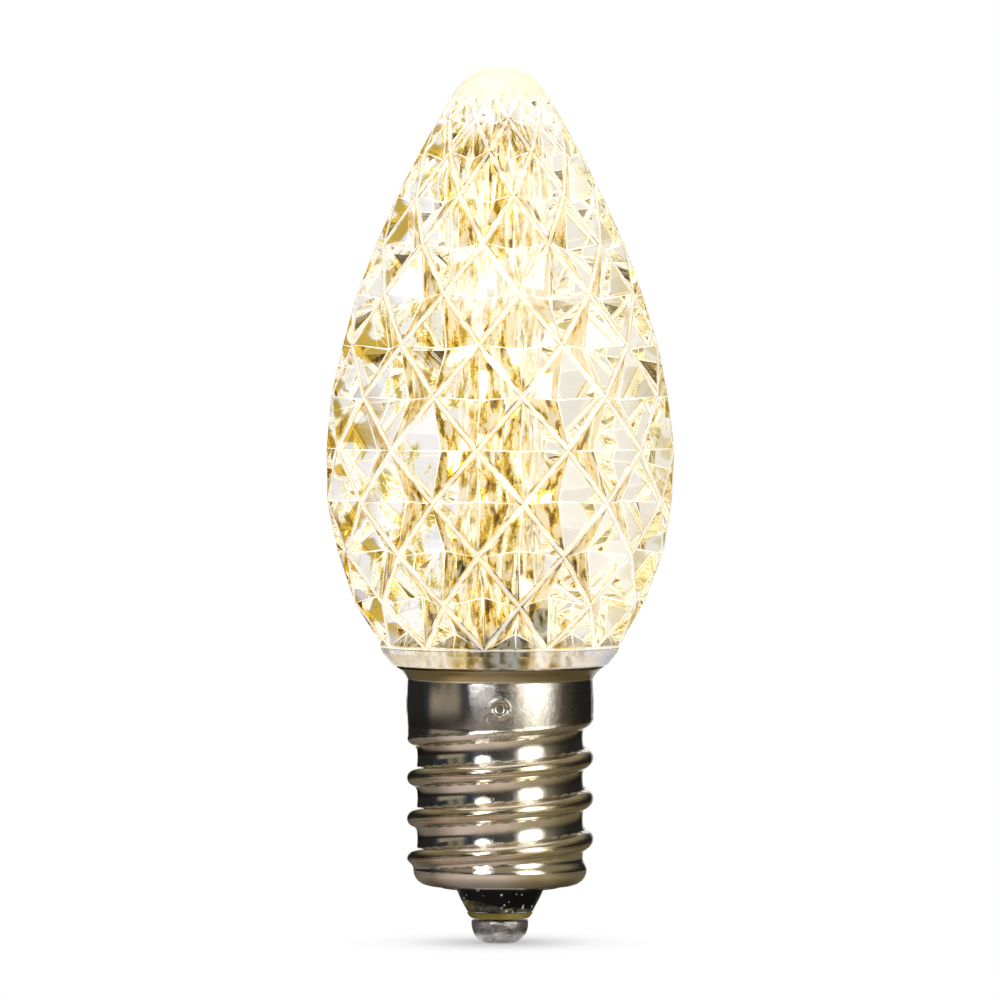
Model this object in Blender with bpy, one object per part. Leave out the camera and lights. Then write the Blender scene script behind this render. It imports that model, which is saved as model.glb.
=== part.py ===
"""A faceted LED Christmas light bulb of C7 size on a candelabra screw base.

Metres, +Z up. The origin is the middle of the solder contact's flat foot, and the axis
of the bulb is Z. The part stands as it does in an upright lampholder, contact down.
"""

import math

import bmesh
import bpy
from mathutils import Matrix, Vector

MM = 0.001
MERGE = 0.001 * MM

# Driving dimensions of the screw base.
THREAD_RADIUS = 5.85 * MM
THREAD_DEPTH = 0.65 * MM
THREAD_PITCH = 2.54 * MM
THREAD_START = 2.28 * MM
THREAD_RUNOUT = 0.85 * MM
CREST_WIDTH = 1.25 * MM
SHELL_WALL = 0.25 * MM
SHELL_HEIGHT = 13.4 * MM
COLLAR_HEIGHT = 3.0 * MM
LIP_HEIGHT = 0.5 * MM
LIP_FLARE = 0.5 * MM
RIM_ROUND = 0.75 * MM
RIM_WIDTH = 0.35 * MM
DIMPLE_WIDTH = 1.05 * MM
DIMPLE_MARGIN = 0.13 * MM
DIMPLE_SLOPE = 0.21 * MM
DIMPLE_DEPTH = 0.30 * MM
DIMPLE_RISE = 1.1 * MM
DIMPLES = 4

# Driving dimensions of the centre contact and its insulator.
TIP_HEIGHT = 1.45 * MM
TIP_RADIUS = 1.81 * MM
TIP_FOOT_RADIUS = 0.72 * MM
EYELET_HEIGHT = 0.35 * MM
EYELET_RADIUS = 2.05 * MM
EYELET_TUBE_RADIUS = 0.80 * MM
EYELET_WALL = 0.30 * MM
BOSS_HEIGHT = 1.45 * MM
BOSS_RADIUS = 2.83 * MM
BOSS_DRAFT = 0.75 * MM
INSULATOR_PROUD = 0.15 * MM
INSULATOR_DEPTH = 1.9 * MM

# Driving dimensions of the lens.
BELLY_RADIUS = 11.0 * MM
FOOT_RADIUS = 7.47 * MM
CROWN_RADIUS = 3.0 * MM
BELLY_RISE = 11.55 * MM
FACET_HEIGHT = 34.55 * MM
CROWN_HEIGHT = 1.86 * MM
EVEN_ROW_RADIUS = 6.2 * MM
SHOULDER_FULLNESS = 1.78
FACET_COLUMNS = 12
FACET_ROWS = 12
RIB_WIDTH = 0.34 * MM
PIT_SLOPE = 0.33
FLANGE_HEIGHT = 0.8 * MM
FLANGE_RADIUS = 6.65 * MM
FLANGE_BAND = 0.35 * MM
FLANGE_DRAFT = 0.12 * MM
NECK_WALL = 0.9 * MM
LEDGE_WIDTH = 0.5 * MM
LEDGE_HEIGHT = 1.2 * MM
BORE_TOP_RADIUS = 3.6 * MM
BORE_TAPER = 7.0 * MM
BORE_TAPER_FULLNESS = 0.8
TIP_WALL = 3.2 * MM
FLUTES = 24
FLUTE_DEPTH = 0.30 * MM

# Driving dimensions of what the bulb holds.
SEAT_HEIGHT = 1.5 * MM
BOARD_LENGTH = 34.0 * MM
BOARD_WIDTH = 5.4 * MM
BOARD_THICKNESS = 1.0 * MM
BOARD_DROP = 3.4 * MM
LED_LENGTH = 3.5 * MM
LED_WIDTH = 2.8 * MM
LED_HEIGHT = 1.9 * MM
LED_CUP_WALL = 0.45 * MM
LED_CUP_DEPTH = 0.5 * MM
LED_ROWS = 3
LED_SPACING = 6.6 * MM
LED_TOP_MARGIN = 2.6 * MM
BRIDGE_LENGTH = 4.0 * MM
BRIDGE_WIDTH = 3.2 * MM
BRIDGE_HEIGHT = 1.6 * MM
BRIDGE_DRAFT = 0.2 * MM
BRIDGE_LEG_REACH = 0.7 * MM
BRIDGE_LEG_WIDTH = 0.6 * MM
BRIDGE_LEG_THICKNESS = 0.2 * MM
CHIP_LENGTH = 3.2 * MM
CHIP_WIDTH = 1.6 * MM
CHIP_CAP = 0.45 * MM
CHIP_CAP_PROUD = 0.06 * MM
CHIP_SPACING = 2.4 * MM
RESISTOR_HEIGHT = 0.6 * MM
CAPACITOR_HEIGHT = 1.6 * MM
LEAD_RADIUS = 0.22 * MM
HOLE_RISE = 1.1 * MM
CENTRE_HOLE_SIDE = -1.1 * MM
SIDE_HOLE_SIDE = 1.5 * MM
SIDE_LEAD_DEGREES = 68.0
JOINT_RADIUS = 0.75 * MM
JOINT_HEIGHT = 0.7 * MM

# Clearances between pieces that seat on each other.
SEAT_GAP = 0.3 * MM
CONTACT_GAP = 0.1 * MM
HOLE_GAP = 0.15 * MM

# Heights, worked up from the foot of the contact.
EYELET_FOOT = TIP_HEIGHT + CONTACT_GAP
EYELET_SHOULDER = EYELET_FOOT + EYELET_HEIGHT
BOSS_FOOT = EYELET_SHOULDER + CONTACT_GAP
INSULATOR_FACE = BOSS_FOOT + BOSS_HEIGHT
SHELL_FOOT = INSULATOR_FACE + INSULATOR_PROUD
SHELL_TOP = SHELL_FOOT + SHELL_HEIGHT
COLLAR_TOP = SHELL_TOP - LIP_HEIGHT
COLLAR_FOOT = COLLAR_TOP - COLLAR_HEIGHT
INSULATOR_SHOULDER = SHELL_FOOT + SHELL_WALL + SEAT_GAP
INSULATOR_TOP = INSULATOR_SHOULDER + INSULATOR_DEPTH
NECK_FOOT = COLLAR_FOOT + SEAT_GAP
DIMPLE_CENTRE = NECK_FOOT + DIMPLE_RISE
FLANGE_FOOT = SHELL_TOP + SEAT_GAP
LENS_FOOT = FLANGE_FOOT + FLANGE_HEIGHT + FLANGE_BAND
BELLY_LEVEL = LENS_FOOT + BELLY_RISE
CROWN_FOOT = LENS_FOOT + FACET_HEIGHT
LENS_TOP = CROWN_FOOT + CROWN_HEIGHT
LEDGE_LEVEL = (NECK_FOOT + FLANGE_FOOT) / 2
SEAT_TOP = LEDGE_LEVEL - CONTACT_GAP
SEAT_FOOT = SEAT_TOP - SEAT_HEIGHT
BOARD_FOOT = SEAT_FOOT - BOARD_DROP
BOARD_TOP = BOARD_FOOT + BOARD_LENGTH
HOLE_LEVEL = BOARD_FOOT + HOLE_RISE
BRIDGE_LEVEL = SEAT_TOP + SEAT_GAP + BRIDGE_LENGTH / 2
FIRST_CHIP_LEVEL = BRIDGE_LEVEL + BRIDGE_LENGTH / 2 + SEAT_GAP + CHIP_WIDTH / 2

# Radii and faces that follow from the pieces around them.
ROOT_RADIUS = THREAD_RADIUS - THREAD_DEPTH
INSULATOR_RADIUS = ROOT_RADIUS - SHELL_WALL - SEAT_GAP
RIM_RADIUS = ROOT_RADIUS - RIM_ROUND - RIM_WIDTH
NECK_RADIUS = THREAD_RADIUS - SHELL_WALL - SEAT_GAP
NECK_BORE = NECK_RADIUS - NECK_WALL
SEAT_RADIUS = NECK_BORE - HOLE_GAP
LEDGE_RADIUS = NECK_BORE - LEDGE_WIDTH
TUBE_BORE = EYELET_TUBE_RADIUS - EYELET_WALL
DOME_RADIUS = (CROWN_RADIUS**2 + CROWN_HEIGHT**2) / (2 * CROWN_HEIGHT)
BOARD_FACE = BOARD_THICKNESS / 2

# How finely the round shapes are divided.
SHELL_STEPS = 40
ROWS_PER_PITCH = 10
ROUND_STEPS = 28
CROWN_RINGS = 4
JOINT_STEPS = 14
LEAD_STEPS = 12


def clear_scene():
    for thing in list(bpy.data.objects):
        bpy.data.objects.remove(thing, do_unlink=True)


def finish(name, colour, roughness, metallic=0.0, transmission=0.0, alpha=1.0):
    """A Principled material in one colour."""
    material = bpy.data.materials.new(name)
    material.use_nodes = True
    shader = material.node_tree.nodes["Principled BSDF"]
    shader.inputs["Base Color"].default_value = (*colour, 1.0)
    shader.inputs["Roughness"].default_value = roughness
    shader.inputs["Metallic"].default_value = metallic
    shader.inputs["Transmission Weight"].default_value = transmission
    shader.inputs["Alpha"].default_value = alpha
    material.diffuse_color = (*colour, alpha)
    return material


def add_object(name, mesh, material):
    mesh.materials.clear()
    mesh.materials.append(material)
    piece = bpy.data.objects.new(name, mesh)
    bpy.context.scene.collection.objects.link(piece)
    return piece


def mesh_of(name, bm, sharp_degrees=40):
    """Hands the bmesh over to a new mesh, shaded smooth up to the sharp angle."""
    face_outwards(bm)
    mesh = bpy.data.meshes.new(name)
    bm.to_mesh(mesh)
    bm.free()
    mesh.shade_smooth()
    mesh.set_sharp_from_angle(angle=math.radians(sharp_degrees))
    return mesh


def spun(profile, steps, start_degrees=0.0):
    """A bmesh turned about Z from (radius, height) points; the ends may lie on the axis."""
    bm = bmesh.new()
    points = [bm.verts.new((radius, 0.0, height)) for radius, height in profile]
    edges = [bm.edges.new(pair) for pair in zip(points, points[1:])]
    turn = Matrix.Rotation(math.radians(start_degrees), 3, "Z")
    bmesh.ops.rotate(bm, verts=points, cent=(0, 0, 0), matrix=turn)
    bmesh.ops.spin(
        bm,
        geom=points + edges,
        cent=(0, 0, 0),
        axis=(0, 0, 1),
        angle=2 * math.pi,
        steps=steps,
        use_merge=True,
    )
    bmesh.ops.remove_doubles(bm, verts=bm.verts, dist=MERGE)
    return bm


def face_outwards(bm):
    """Turns the faces outwards; the widest one decides it on an open wall."""
    bmesh.ops.recalc_face_normals(bm, faces=bm.faces)
    if any(e.is_boundary for e in bm.edges):
        widest = max(bm.faces, key=lambda f: f.calc_center_median().xy.length)
        if widest.normal.xy.dot(widest.calc_center_median().xy) < 0:
            bmesh.ops.reverse_faces(bm, faces=bm.faces)


def ring_profile(outline):
    """Closes an outline on itself, so that it spins to a ring with a bore."""
    return outline + outline[:1]


def smoothstep(low, high, value):
    share = min(1.0, max(0.0, (value - low) / (high - low)))
    return share * share * (3 - 2 * share)


def angle_from_front(point):
    """Turns about the axis, from -Y towards +X, in degrees."""
    return math.degrees(math.atan2(point.x, -point.y))


def on_axis(radius, degrees, height):
    """The point at this radius and height, the angle counted as angle_from_front does."""
    turn = math.radians(degrees)
    return Vector((radius * math.sin(turn), -radius * math.cos(turn), height))


def envelope(height):
    """The radius of the surface that the lens's ribs lie on."""
    if height < BELLY_LEVEL:
        half_height = BELLY_RISE / math.sqrt(1 - (FOOT_RADIUS / BELLY_RADIUS) ** 2)
        return BELLY_RADIUS * math.sqrt(1 - ((BELLY_LEVEL - height) / half_height) ** 2)
    share = (height - BELLY_LEVEL) / (CROWN_FOOT - BELLY_LEVEL)
    return BELLY_RADIUS - (BELLY_RADIUS - CROWN_RADIUS) * share**SHOULDER_FULLNESS


def row_levels():
    """Heights of the rows of rib crossings, lowest first: even steps along the surface,
    which close up with the radius where the lens is narrower than EVEN_ROW_RADIUS."""
    slices = 400
    heights = [LENS_FOOT + FACET_HEIGHT * i / slices for i in range(slices + 1)]
    counted = [0.0]
    for low, high in zip(heights, heights[1:]):
        length = math.hypot(high - low, envelope(high) - envelope(low))
        middle = envelope((low + high) / 2)
        counted.append(counted[-1] + length / min(1.0, middle / EVEN_ROW_RADIUS))
    levels = []
    for row in range(FACET_ROWS + 1):
        wanted = counted[-1] * row / FACET_ROWS
        i = max(1, next(j for j, c in enumerate(counted) if c >= wanted - 1e-12))
        share = (wanted - counted[i - 1]) / (counted[i] - counted[i - 1])
        levels.append(heights[i - 1] + share * (heights[i] - heights[i - 1]))
    return levels


def sink_pits(bm, diamonds):
    """Leaves a flat rib round each diamond and sinks the rest to a four-sided pit."""
    bm.normal_update()
    bmesh.ops.inset_individual(bm, faces=diamonds, thickness=RIB_WIDTH / 2, use_even_offset=True)
    bmesh.ops.poke(bm, faces=diamonds, offset=-PIT_SLOPE, use_relative_offset=True, center_mode="MEAN")


def extrude_ring(bm, edges, radius, height):
    """Draws the open ring of edges on to a new radius and height."""
    made = bmesh.ops.extrude_edge_only(bm, edges=edges)["geom"]
    for vert in [v for v in made if isinstance(v, bmesh.types.BMVert)]:
        flat = Vector((vert.co.x, vert.co.y, 0)).normalized() * radius
        vert.co = (flat.x, flat.y, height)
    return [e for e in made if isinstance(e, bmesh.types.BMEdge)]


def faceted_lens_body():
    """The lens as a solid: diamond pits between crossing ribs, a round crown, a flange
    that sits over the shell's lip, and a neck that goes down inside the shell's collar."""
    bm = bmesh.new()
    half_column = 180.0 / FACET_COLUMNS
    levels = row_levels()
    count = 2 * FACET_COLUMNS
    rows = []
    for row, level in enumerate(levels):
        whole_ring = row in (0, FACET_ROWS)
        first = half_column * ((row % 2) - 0.5)
        stride = 1 if whole_ring else 2
        ring = {}
        for step in range(0, count, stride):
            ring[(step + row % 2) % count] = bm.verts.new(
                on_axis(envelope(level), first + step * half_column, level)
            )
        rows.append(ring)

    def at(row, place):
        return rows[row][place % count]

    diamonds = []
    for row in range(FACET_ROWS + 1):
        for column in range(FACET_COLUMNS):
            left = 2 * column + row % 2
            corners = [at(row, left)]
            corners.append(at(row - 1, left + 1) if row > 0 else at(row, left + 1))
            corners.append(at(row, left + 2))
            corners.append(at(row + 1, left + 1) if row < FACET_ROWS else at(row, left + 1))
            diamonds.append(bm.faces.new(corners))
    sink_pits(bm, diamonds)

    crown = [e for e in bm.edges if e.is_boundary and e.verts[0].co.z > BELLY_LEVEL]
    foot = [e for e in bm.edges if e.is_boundary and e.verts[0].co.z < BELLY_LEVEL]
    dome_turn = math.asin(CROWN_RADIUS / DOME_RADIUS)
    for ring in range(1, CROWN_RINGS):
        turn = dome_turn * (1 - ring / CROWN_RINGS)
        drop = DOME_RADIUS * (1 - math.cos(turn))
        crown = extrude_ring(bm, crown, DOME_RADIUS * math.sin(turn), LENS_TOP - drop)
    cap = bmesh.ops.contextual_create(bm, geom=crown)["faces"]
    tip = bmesh.ops.poke(bm, faces=cap)["verts"]
    for vert in tip:
        vert.co.z = LENS_TOP

    groove = DIMPLE_WIDTH / 2 + SEAT_GAP
    for radius, height in (
        (FOOT_RADIUS - FLANGE_DRAFT, LENS_FOOT - FLANGE_BAND),
        (FLANGE_RADIUS, FLANGE_FOOT),
        (NECK_RADIUS, FLANGE_FOOT),
        (NECK_RADIUS, DIMPLE_CENTRE + groove),
        (NECK_RADIUS - DIMPLE_DEPTH, DIMPLE_CENTRE + DIMPLE_WIDTH / 2),
        (NECK_RADIUS - DIMPLE_DEPTH, DIMPLE_CENTRE - DIMPLE_WIDTH / 2),
        (NECK_RADIUS, DIMPLE_CENTRE - groove),
        (NECK_RADIUS, NECK_FOOT),
    ):
        foot = extrude_ring(bm, foot, radius, height)
    bmesh.ops.contextual_create(bm, geom=foot)
    return bm


def lens_cavity():
    """The hollow that the core pin leaves, as a cutter: a plain bore in the neck, a ledge,
    and a fluted bore that tapers into the crown, so that the pin draws out."""
    fluted_from = LEDGE_LEVEL + LEDGE_HEIGHT
    bore_top = LENS_TOP - TIP_WALL
    taper_foot = bore_top - BORE_TAPER
    outline = [
        (0.0, NECK_FOOT - NECK_WALL),
        (NECK_BORE, NECK_FOOT - NECK_WALL),
        (NECK_BORE, LEDGE_LEVEL),
        (LEDGE_RADIUS, LEDGE_LEVEL),
        (LEDGE_RADIUS, fluted_from),
    ]
    for degrees in (0, 22, 44, 66):
        turn = math.radians(degrees)
        radius = BORE_TOP_RADIUS * math.cos(turn) ** BORE_TAPER_FULLNESS
        outline.append((radius, taper_foot + BORE_TAPER * math.sin(turn)))
    outline.append((0.0, bore_top))
    bm = spun(outline, 2 * FLUTES, 90.0)
    for vert in bm.verts:
        place = round(angle_from_front(vert.co) * FLUTES / 180)
        radius = math.hypot(vert.co.x, vert.co.y)
        if vert.co.z > fluted_from - FLUTE_DEPTH and radius > FLUTE_DEPTH and place % 2:
            vert.co += Vector((vert.co.x, vert.co.y, 0)).normalized() * -FLUTE_DEPTH
    return bm


def add_lens():
    """One clear moulding, cut hollow by the fluted cavity."""
    clear = finish("clear_polycarbonate", (0.95, 0.93, 0.88), 0.04, transmission=0.9, alpha=0.35)
    lens = add_object("lens", mesh_of("lens", faceted_lens_body(), 8), clear)
    change_by(lens, "DIFFERENCE", "lens_cavity", lens_cavity())


def roll_thread(bm, foot, top):
    """Presses the drawn wall in between the turns of a right-hand thread: round crests with
    a flat root between them. The thread runs out into the collar above and into the plain
    root diameter below."""
    for vert in bm.verts:
        if not foot - MERGE <= vert.co.z <= top:
            continue
        turns = angle_from_front(vert.co) / 360
        phase = (vert.co.z - SHELL_FOOT - THREAD_START) / THREAD_PITCH - turns
        off_crest = abs(phase - round(phase)) * THREAD_PITCH
        crest = 1 / (1 + (2 * off_crest / CREST_WIDTH) ** 4)
        crest *= smoothstep(foot, foot + THREAD_RUNOUT, vert.co.z)
        collar = smoothstep(COLLAR_FOOT - THREAD_RUNOUT, COLLAR_FOOT, vert.co.z)
        kept = crest + (1 - crest) * collar
        inward = Vector((vert.co.x, vert.co.y, 0)).normalized()
        vert.co -= inward * THREAD_DEPTH * (1 - kept)


def stake_dimples(bm):
    """Presses a shallow dimple at each staking point, halfway between two spin steps."""
    for number in range(DIMPLES):
        place = on_axis(THREAD_RADIUS, 360 * number / DIMPLES, DIMPLE_CENTRE)
        face = min(bm.faces, key=lambda f: (f.calc_center_median() - place).length)
        bmesh.ops.inset_individual(bm, faces=[face], thickness=DIMPLE_MARGIN)
        bmesh.ops.inset_individual(bm, faces=[face], thickness=DIMPLE_SLOPE, depth=-DIMPLE_DEPTH)


def add_screw_shell():
    """Nickel-plated brass sheet, drawn to a cup, rolled with the thread, its lower rim
    turned in under the insulator and its upper lip flared out."""
    rolled_foot = SHELL_FOOT + RIM_ROUND
    rows = max(8, round((COLLAR_FOOT - rolled_foot) / THREAD_PITCH * ROWS_PER_PITCH))
    lip_edge = SHELL_TOP - SHELL_WALL * math.cos(math.atan(LIP_FLARE / LIP_HEIGHT))
    profile = []
    for degrees in (90, 60, 30, 0):
        turn = math.radians(degrees)
        flare = LIP_FLARE * (1 - math.cos(turn))
        profile.append((THREAD_RADIUS + flare, COLLAR_TOP + (lip_edge - COLLAR_TOP) * math.sin(turn)))
    profile.append((THREAD_RADIUS, DIMPLE_CENTRE + DIMPLE_WIDTH / 2))
    profile.append((THREAD_RADIUS, DIMPLE_CENTRE - DIMPLE_WIDTH / 2))
    for i in range(rows + 1):
        profile.append((THREAD_RADIUS, COLLAR_FOOT - (COLLAR_FOOT - rolled_foot) * i / rows))
    for degrees in (30, 60, 90):
        turn = math.radians(degrees)
        inward = RIM_ROUND * (1 - math.cos(turn))
        profile.append((ROOT_RADIUS - inward, rolled_foot - RIM_ROUND * math.sin(turn)))
    profile.append((RIM_RADIUS, SHELL_FOOT))
    half_step = 180.0 / SHELL_STEPS
    bm = spun(profile, SHELL_STEPS, half_step)
    face_outwards(bm)
    roll_thread(bm, rolled_foot, COLLAR_FOOT)
    stake_dimples(bm)
    nickel = finish("nickel_plated_brass", (0.80, 0.77, 0.72), 0.16, metallic=1.0)
    shell = add_object("screw_shell", mesh_of("screw_shell", bm, 60), nickel)
    sheet = shell.modifiers.new("sheet", "SOLIDIFY")
    sheet.thickness = SHELL_WALL
    sheet.offset = -1.0
    sheet.use_even_offset = True


def add_insulator():
    """Black glass, pressed to a disc inside the rim with a boss through it."""
    black = finish("black_glass", (0.02, 0.02, 0.02), 0.08)
    bore = EYELET_TUBE_RADIUS + HOLE_GAP
    face_radius = RIM_RADIUS - SEAT_GAP
    outline = [
        (bore, INSULATOR_TOP),
        (INSULATOR_RADIUS, INSULATOR_TOP),
        (INSULATOR_RADIUS, INSULATOR_SHOULDER + RIM_ROUND),
        (INSULATOR_RADIUS - RIM_ROUND / 2, INSULATOR_SHOULDER),
        (face_radius, INSULATOR_SHOULDER),
        (face_radius, INSULATOR_FACE),
        (BOSS_RADIUS, INSULATOR_FACE),
        (BOSS_RADIUS - BOSS_DRAFT, BOSS_FOOT),
        (bore, BOSS_FOOT),
    ]
    add_object("insulator", mesh_of("insulator", spun(ring_profile(outline), ROUND_STEPS)), black)


def add_contact_eyelet():
    """Drawn brass: a conical flange under the boss and a tube up through the insulator."""
    brass = finish("brass", (0.72, 0.52, 0.22), 0.3, metallic=1.0)
    outline = [
        (TUBE_BORE, INSULATOR_TOP + EYELET_WALL),
        (EYELET_TUBE_RADIUS, INSULATOR_TOP + EYELET_WALL),
        (EYELET_TUBE_RADIUS, EYELET_SHOULDER),
        (EYELET_RADIUS, EYELET_SHOULDER),
        (TIP_RADIUS, EYELET_FOOT),
        (TUBE_BORE, EYELET_FOOT),
    ]
    add_object("contact_eyelet", mesh_of("contact_eyelet", spun(ring_profile(outline), ROUND_STEPS)), brass)


def add_solder_tip():
    """The drop of solder that closes the eyelet, with the foot that it cooled on."""
    solder = finish("solder", (0.45, 0.45, 0.46), 0.45, metallic=1.0)
    profile = [(0.0, TIP_HEIGHT), (TIP_RADIUS, TIP_HEIGHT)]
    for degrees in (20, 40, 60, 80):
        turn = math.radians(degrees)
        reach = TIP_FOOT_RADIUS + (TIP_RADIUS - TIP_FOOT_RADIUS) * math.cos(turn)
        profile.append((reach, TIP_HEIGHT * (1 - math.sin(turn))))
    profile += [(TIP_FOOT_RADIUS, 0.0), (0.0, 0.0)]
    add_object("solder_tip", mesh_of("solder_tip", spun(profile, ROUND_STEPS), 50), solder)


def box_mesh(low, high):
    """A bmesh box between two corners."""
    bm = bmesh.new()
    bmesh.ops.create_cube(bm, size=1.0)
    low, high = Vector(low), Vector(high)
    bmesh.ops.scale(bm, vec=high - low, verts=bm.verts)
    bmesh.ops.translate(bm, vec=(low + high) / 2, verts=bm.verts)
    return bm


def change_by(piece, operation, name, bm):
    """Cuts a hidden solid out of the piece, or joins it on."""
    tool = add_object(name, mesh_of(name, bm), piece.data.materials[0])
    tool.hide_render = True
    tool.display_type = "WIRE"
    change = piece.modifiers.new(name, "BOOLEAN")
    change.operation = operation
    change.object = tool


def rod_mesh(radius, start, end):
    """A bmesh rod between two points."""
    start, end = Vector(start), Vector(end)
    bm = bmesh.new()
    turned = Vector((0, 0, 1)).rotation_difference(end - start).to_matrix().to_4x4()
    bmesh.ops.create_cone(
        bm,
        cap_ends=True,
        segments=LEAD_STEPS,
        radius1=radius,
        radius2=radius,
        depth=(end - start).length,
        matrix=Matrix.Translation((start + end) / 2) @ turned,
    )
    return bm


def add_board_seat():
    """A white disc in the neck, up against the ledge, with a slot that grips the board."""
    white = finish("white_nylon", (0.86, 0.85, 0.82), 0.5)
    outline = [(0.0, SEAT_TOP), (SEAT_RADIUS, SEAT_TOP), (SEAT_RADIUS, SEAT_FOOT), (0.0, SEAT_FOOT)]
    seat = add_object("board_seat", mesh_of("board_seat", spun(outline, ROUND_STEPS)), white)
    half_width = BOARD_WIDTH / 2 + HOLE_GAP
    half_thickness = BOARD_FACE + HOLE_GAP
    low = (-half_width, -half_thickness, SEAT_FOOT - SEAT_HEIGHT)
    high = (half_width, half_thickness, SEAT_TOP + SEAT_HEIGHT)
    change_by(seat, "DIFFERENCE", "board_slot", box_mesh(low, high))


def add_led_board():
    """A narrow strip of laminate with a white mask, upright on the axis, with the two lead
    holes at its foot."""
    laminate = finish("white_laminate", (0.80, 0.82, 0.78), 0.45)
    half = BOARD_WIDTH / 2
    bm = box_mesh((-half, -BOARD_FACE, BOARD_FOOT), (half, BOARD_FACE, BOARD_TOP))
    board = add_object("led_board", mesh_of("led_board", bm), laminate)
    for name, side in (("centre_hole", CENTRE_HOLE_SIDE), ("side_hole", SIDE_HOLE_SIDE)):
        ends = [(side, reach, HOLE_LEVEL) for reach in (-BOARD_THICKNESS, BOARD_THICKNESS)]
        change_by(board, "DIFFERENCE", name, rod_mesh(LEAD_RADIUS + HOLE_GAP, *ends))


def turned_to(face, bm):
    """Turns a part built on the front face (-Y) round to the back for face = 1."""
    if face > 0:
        bmesh.ops.rotate(bm, verts=bm.verts, cent=(0, 0, 0), matrix=Matrix.Rotation(math.pi, 3, "Z"))
    return bm


def led_mesh(level, face):
    """A white package with a square cup sunk in its front, filled with phosphor."""
    near = -BOARD_FACE - CONTACT_GAP
    half_width, half_length = LED_WIDTH / 2, LED_LENGTH / 2
    low = (-half_width, near - LED_HEIGHT, level - half_length)
    bm = box_mesh(low, (half_width, near, level + half_length))
    front = [f for f in bm.faces if f.normal.y < -0.9]
    bmesh.ops.inset_individual(bm, faces=front, thickness=LED_CUP_WALL)
    bmesh.ops.inset_individual(bm, faces=front, thickness=LED_CUP_DEPTH / 2, depth=-LED_CUP_DEPTH)
    return turned_to(face, bm)


def add_leds():
    """Three LEDs up the front of the board and three up the back."""
    package = finish("led_package", (0.92, 0.80, 0.40), 0.4)
    number = 0
    for face in (-1, 1):
        for row in range(LED_ROWS):
            number += 1
            level = BOARD_TOP - LED_TOP_MARGIN - LED_SPACING * row
            name = f"led_{number}"
            add_object(name, mesh_of(name, led_mesh(level, face), 30), package)


def extruded(outline, vector):
    """A bmesh prism: a closed outline of 3-D points, drawn along a vector."""
    bm = bmesh.new()
    face = bm.faces.new([bm.verts.new(p) for p in outline])
    made = bmesh.ops.extrude_face_region(bm, geom=[face])["geom"]
    bmesh.ops.translate(bm, vec=vector, verts=[v for v in made if isinstance(v, bmesh.types.BMVert)])
    bmesh.ops.recalc_face_normals(bm, faces=bm.faces)
    return bm


def add_rectifier():
    """A bridge rectifier: a black moulding with two legs out of each side, bent down."""
    black = finish("black_epoxy", (0.03, 0.03, 0.03), 0.5)
    near = -BOARD_FACE - CONTACT_GAP
    lift = BRIDGE_LEG_THICKNESS
    half_width, half_length = BRIDGE_WIDTH / 2, BRIDGE_LENGTH / 2
    low = (-half_width, near - lift - BRIDGE_HEIGHT, BRIDGE_LEVEL - half_length)
    bm = box_mesh(low, (half_width, near - lift, BRIDGE_LEVEL + half_length))
    front = [v for v in bm.verts if v.co.y < near - BRIDGE_HEIGHT]
    drafted = (1 - BRIDGE_DRAFT / half_width, 1.0, 1 - BRIDGE_DRAFT / half_length)
    bmesh.ops.scale(bm, vec=drafted, verts=front, space=Matrix.Translation((0, 0, -BRIDGE_LEVEL)))
    body = add_object("rectifier", mesh_of("rectifier", bm, 20), black)
    out = half_width + BRIDGE_LEG_REACH
    shin = half_width + BRIDGE_LEG_REACH / 4
    middle = near - lift - BRIDGE_HEIGHT / 2
    for name, row in (("lower_legs", -1), ("upper_legs", 1)):
        foot = BRIDGE_LEVEL + row * BRIDGE_LENGTH / 4 - BRIDGE_LEG_WIDTH / 2
        half_outline = [
            (out, near, foot),
            (out, near - lift, foot),
            (shin + lift, near - lift, foot),
            (shin + lift, middle - lift, foot),
        ]
        inner_edge = [(shin, middle, foot), (shin, near, foot)]
        outline = [(-x, y, z) for x, y, z in half_outline]
        outline += half_outline[::-1]
        outline += inner_edge[::-1]
        outline += [(-x, y, z) for x, y, z in inner_edge]
        change_by(body, "UNION", name, extruded(outline, (0, 0, BRIDGE_LEG_WIDTH)))


def chip_mesh(level, height, face):
    """A chip across the board, its two metal end caps a little proud of its body."""
    near = -BOARD_FACE - CONTACT_GAP
    half_length, half_width = CHIP_LENGTH / 2, CHIP_WIDTH / 2
    neck = half_length - CHIP_CAP
    slim = half_width - CHIP_CAP_PROUD
    quarter = [(half_length, half_width), (neck, half_width), (neck, slim)]
    corners = quarter + [(-x, z) for x, z in reversed(quarter)]
    corners += [(-x, -z) for x, z in quarter] + [(x, -z) for x, z in reversed(quarter)]
    bm = extruded([(x, near, level + z) for x, z in corners], (0, -height, 0))
    return turned_to(face, bm)


def add_chips():
    """The dropping resistors on the front of the board and the capacitor on its back."""
    dark = finish("resistor_glaze", (0.05, 0.05, 0.06), 0.35)
    tan = finish("capacitor_ceramic", (0.45, 0.33, 0.20), 0.55)
    for number in range(2):
        name = f"resistor_{number + 1}"
        bm = chip_mesh(FIRST_CHIP_LEVEL + number * CHIP_SPACING, RESISTOR_HEIGHT, -1)
        add_object(name, mesh_of(name, bm, 20), dark)
    bm = chip_mesh(BRIDGE_LEVEL, CAPACITOR_HEIGHT, 1)
    add_object("capacitor", mesh_of("capacitor", bm, 20), tan)


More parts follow.
